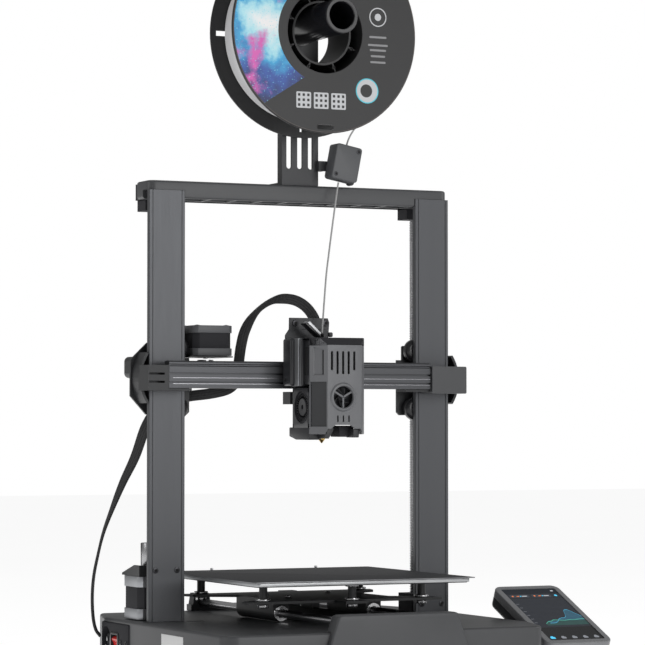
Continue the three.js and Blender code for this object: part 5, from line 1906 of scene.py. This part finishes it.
# ------------------------------------------------------------------ bed
@dataclass
class Bed:
    """The build plate, the heated slab and what hangs under it."""

    posts: tuple[Flat, ...] = ((-85, -93), (85, -93), (0, -112), (-88, 50), (88, 50))
    rod_x: float = 50.0
    rod_z: float = 68.0
    body: str = "bed"

    def build(self) -> None:
        """Builds every piece of the bed."""
        self.plate()
        self.slab()
        self.under()

    def plate(self) -> None:
        """Builds the spring-steel build plate with its coating."""
        sheet = SHOP.outline("print_plate", Plane.XY, rounded_box(-117.5, 117.5, -145.7, 89.3, 3, 6), 102.7,
                             103.5)
        SHOP.soften(sheet, 0.2, 2, 60)
        sheet.data.materials.append(PLATE.make())
        sheet.data.materials.append(EDGE_STEEL.make())
        for face in sheet.data.polygons:
            face.material_index = 0 if face.normal.z > 0.6 else 1
        SHOP.fit(sheet, "plate", ["build_plate"])

    def slab(self) -> None:
        """Builds the aluminium slab with its pegs and its insulation."""
        slab = SHOP.outline("bed_slab", Plane.XY, rounded_box(-113.5, 113.5, -142, 93.7, 4, 6), 98.9, 102.4,
                            0.3)
        SHOP.paint(slab, BED_METAL)
        pad = SHOP.outline("bed_pad", Plane.XY, rounded_box(-112, 112, -140.5, 92, 4, 6), 98.2, 98.9)
        parts = [SHOP.paint(pad, BLACK)]
        for i, s in enumerate((-1, 1)):
            peg = SHOP.rod(f"peg{i}", Axis.Z, (s * 58.5, 91.5, 103.7), 1.6, 3.4, 0.5, 20)
            parts.append(SHOP.paint(peg, SCREW_BRIGHT))
        SHOP.fit(SHOP.unite("bed_slab", [*parts, slab]), self.body, ["heated_bed"])

    def under(self) -> None:
        """Builds the cups, caps and nuts on the posts, the bearings' bright ends and the plate's bolts."""
        parts = []
        for i, (x, y) in enumerate(self.posts):
            base = SHOP.rod(f"cup{i}", Axis.Z, (x, y, 83.6), 7, 2.6, 0.6, 28)
            cap = SHOP.rod(f"cap{i}", Axis.Z, (x, y, 96.6), 6.4, 2.0, 0.5, 28)
            nut = SHOP.rod(f"nut{i}", Axis.Z, (x, y, 77.6), 5.4, 3.6, 0.6, 6)
            parts += [SHOP.paint(base, SCREW_BRIGHT), SHOP.paint(cap, SCREW_BRIGHT),
                      SHOP.paint(nut, SCREW_BRIGHT)]
        for i, s in enumerate((-1, 1)):
            for k, y in enumerate((-58.6, 30.6)):
                ring = SHOP.lathe(f"seal{i}_{k}", Axis.Y, (s * self.rod_x, self.rod_z), [
                    (4.5, y - 0.6), (7.4, y - 0.6), (7.8, y), (7.4, y + 0.6), (4.5, y + 0.6)], 40)
                parts.append(SHOP.paint(ring, STEEL))
        for i, (x, y) in enumerate(((-34, -40), (34, -40), (-34, 12), (34, 12))):
            parts.append(SHOP.screw(f"plate_bolt{i}", Axis.Z, (x, y, 82.2), 2.8, 1.6, 1, SCREW_BRIGHT))
        SHOP.fit(SHOP.unite("bed_fixings", parts), self.body)


# ------------------------------------------------------------------ screen
@dataclass
class Screen:
    """The touch screen beside the base with its lit page."""

    x0: float = 182.0
    x1: float = 256.0
    run: float = 112.0
    rise: float = 49.5
    foot: Point = (0.0, -173.0, 39.0)

    @property
    def length(self) -> float:
        """Length of the leaning case from its foot to its top."""
        return math.hypot(self.run, self.rise)

    def build(self) -> None:
        """Builds the case with its arm, then the page."""
        self.case()
        self.page()

    def tilt(self, piece: Piece) -> Piece:
        """Leans a piece made flat on the table into the screen's place.

        Args:
            piece: the piece.

        Returns:
            The piece.
        """
        turn = Matrix.Rotation(math.atan2(self.rise, self.run), 4, "X")
        origin = at(0, 0, 0)
        piece.data.transform(Matrix.Translation(at(*self.foot)) @ turn @ Matrix.Translation(-origin))
        return piece

    def case(self) -> None:
        """Builds the case, the paler frame round the glass, and the arm."""
        x0, x1, top = self.x0, self.x1, self.length
        back = SHOP.outline("screen_case_body", Plane.XY, rounded_box(x0, x1, 0, top, 9, 8), -21, -5)
        SHOP.soften(back, 5.0, 5, 60)
        SHOP.paint(back, DARK_CASE_AND_SHADE)
        frame_piece = SHOP.outline("screen_frame", Plane.XY, rounded_box(x0, x1, 0, top, 9, 8), -9, 0)
        SHOP.soften(frame_piece, 1.2, 3, 60)
        SHOP.cut(frame_piece, SHOP.outline("t", Plane.XY,
                                           rounded_box(x0 + 6.2, x1 - 6.2, 6.4, top - 6.4, 2.0, 5), -1.0, 2))
        SHOP.paint(frame_piece, FRAME_GREY)
        whole = self.tilt(SHOP.unite("screen_case_body", [frame_piece, back]))
        arm = SHOP.outline("screen_arm", Plane.YZ, [(-128, 30), (-92, 30), (-92, 58), (-128, 42)], 174.3, 202,
                           0.8)
        SHOP.paint(arm, DARK_CASE_AND_SHADE)
        SHOP.fit(SHOP.unite("screen_case_body", [arm, whole]), "base", ["screen_case"])

    def patch(self, name: str, points: Sequence[Flat], finish: Surface, layer: int) -> Piece:
        """Makes a thin lit patch above the glass, in the flat screen's coordinates.

        Args:
            name: the patch's name.
            points: its outline from the case's lower left corner.
            finish: its colour.
            layer: how many patches it lies on.

        Returns:
            The patch.
        """
        height = -0.72 + 0.05 * layer
        piece = SHOP.outline(name, Plane.XY, [(x + self.x0, y) for x, y in points], height - 0.04, height)
        return SHOP.paint(piece, finish)

    def page(self) -> None:
        """Builds the glass and the lit page: bars, two pills, a chart and five icons."""
        glass = SHOP.outline("screen_pane", Plane.XY, rounded_box(188.2, 249.8, 6.4, self.length - 6.4, 2, 4),
                             -1.0, -0.75)
        SHOP.paint(glass, GLASS)
        parts = [
            self.patch("bar", rounded_box(6.6, 67.4, 106, 115.6, 1, 2), PAGE_BAR, 0),
            self.patch("row", rounded_box(6.6, 67.4, 96.5, 105.6, 0.6, 2), PAGE_ROW, 0),
            self.patch("chart", rounded_box(6.6, 67.4, 34, 96, 0.6, 2), PAGE_CHART, 0),
            self.patch("signal", rounded_box(61, 64, 110, 112, 0.5, 2), PAGE_WHITE, 1),
            self.patch("dot", [(x + 62, y + 101) for x, y in arc(0, 0, 1.7, 0, 345, 16)], PAGE_BLUE, 1),
        ]
        for i, x in enumerate((9.5, 34.5)):
            parts.append(self.patch(f"pill{i}", rounded_box(x, x + 22, 98, 104, 2.4, 4), PAGE_PILL, 1))
            parts.append(self.patch(f"heat{i}", rounded_box(x + 2.2, x + 4.0, 99.8, 102.2, 0.4, 2),
                                    PAGE_ORANGE, 2))
            parts.append(self.patch(f"warm{i}", rounded_box(x + 7.5, x + 10.6, 100.2, 101.6, 0.4, 2),
                                    PAGE_ORANGE, 2))
            parts.append(self.patch(f"cool{i}", rounded_box(x + 11.4, x + 13.0, 100.2, 101.8, 0.4, 2),
                                    PAGE_BLUE, 2))
            parts.append(self.patch(f"goal{i}", rounded_box(x + 13.6, x + 19.4, 100.2, 101.6, 0.4, 2),
                                    PAGE_WHITE, 2))
        for i in range(6):
            parts.append(self.patch(f"tick{i}", rounded_box(8, 11.4, 44 + i * 8, 44.5 + i * 8, 0.1, 1),
                                    PAGE_DIM, 1))
            parts.append(self.patch(f"rule{i}", rounded_box(14, 67, 44.2 + i * 8, 44.45 + i * 8, 0.1, 1),
                                    PAGE_RULE, 1))
        parts += self.chart()
        for i in range(5):
            x = 12 + i * 12.3
            finish = PAGE_BLUE if i == 0 else PAGE_DIM
            parts.append(self.patch(f"icon{i}", rounded_box(x - 2.6, x + 2.6, 10.5, 14.2, 0.9, 3), finish, 1))
            parts.append(self.patch(f"icon_top{i}", rounded_box(x - 1.6, x + 1.2, 14.0, 15.6, 0.5, 2), finish,
                                    1))
        page = self.tilt(SHOP.unite("screen_page", [*parts, glass]))
        SHOP.fit(page, "base", ["screen_glass"])

    def chart(self) -> list[Piece]:
        """Builds the chart's two curves and the tint under them.

        Returns:
            The curves and the tints.
        """
        green = [(20, 41), (24, 45), (28, 46), (32, 48.6), (38, 48), (44, 47), (50, 48.2), (56, 48), (62, 49),
                 (67.2, 49.5)]
        blue = [(25, 42), (31, 42.4), (35, 45), (39, 50), (43, 52.2), (47, 52.8), (50, 57), (52, 64),
                (54.5, 68.4),
                (58, 69), (60.5, 66), (64, 60), (67.2, 55)]
        parts = []
        for name, knots, line, fill, base in (("green", green, PAGE_GREEN, PAGE_GREEN_FILL, 38.0),
                                               ("blue", blue, PAGE_BLUE_LINE, PAGE_BLUE_FILL, 47.5)):
            curve = [(x, y) for x, y, _ in curve_through([(x, y, 0.0) for x, y in knots], 6)]
            under = [(x, min(y, base)) for x, y in curve]
            layer = 1 if name == "green" else 2
            parts.append(self.patch(f"{name}_fill", under + [(x, max(y, base)) for x, y in curve[::-1]], fill,
                                    layer))
            lift = [(x, y + 0.9) for x, y in curve[::-1]]
            parts.append(self.patch(f"{name}_line", curve + lift, line, layer + 2))
        return parts


# ------------------------------------------------------------------ CAD nodes
@dataclass
class Carried:
    """CAD nodes that stay as they are, with a finish."""

    def build(self) -> None:
        """Dresses every CAD node that is shown."""
        rows = [f"wheel_{side}_{row}" for side in ("left", "right") for row in ("upper", "lower", "outer")]
        wearers: dict[Surface, Sequence[str]] = {
            BLACK: ("base_floor", "y_motor", "z_belt_cover", "screw_foot", "power_inlet", "z_motor",
                    "spool_tube",
                    "spool", "x_motor", "extruder_body", "blower", "blower_impeller", "hotend_fan"),
            STEEL: ("extruder_lever", "lead_screw_left", "lead_screw_right", "screw_coupler", "y_rod_left",
                    "y_rod_right", "y_pulley"),
            CASE: ("tensioner_box", "screen_case", "top_beam", "base_shell", "nose_cover"),
            SHEET: ("z_motor_bracket", "left_carriage", "right_carriage", "bed_carriage"),
            SHEET_GREY: ("spool_bracket", "head_carriage"),
            ANODISED: ("upright_left", "upright_right"),
            ANODISED_X: ("x_beam",),
            SCREW_BRIGHT: ("x_pulley", "x_idler", "belt_guide"),
            BED_METAL: ("power_supply", "heated_bed"),
            RUBBER: ("z_belt", "harness_arch", "harness_lower"),
            BELT: ("x_belt", "y_belt"),
            COVER: ("sensor_box", "head_cover"),
            STRAND: ("filament_upper", "filament_lower"),
            WOUND: ("winding",),
            DARK_CASE_AND_SHADE: ("rear_rod_holder",),
            RED: ("power_rocker",),
            GLASS: ("screen_glass",),
            BRASS: ("hotend",),
            PLATE: ("build_plate",),
            WHEEL_PLASTIC: rows,
        }
        finishes = {name: finish for finish, names in wearers.items() for name in names}
        for name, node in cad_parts.items():
            for place in node.material_slots:
                place.material = finishes[name].make()


def main() -> None:
    """Builds the studio and every sub-assembly."""
    logging.basicConfig(level=logging.INFO, format="%(name)s: %(message)s")
    for part in (Studio(), Carried(), Base(), Portal(), Spool(), Cords(), Gantry(), Head(), Bed(), Screen()):
        part.build()


if __name__ == "__main__":
    main()
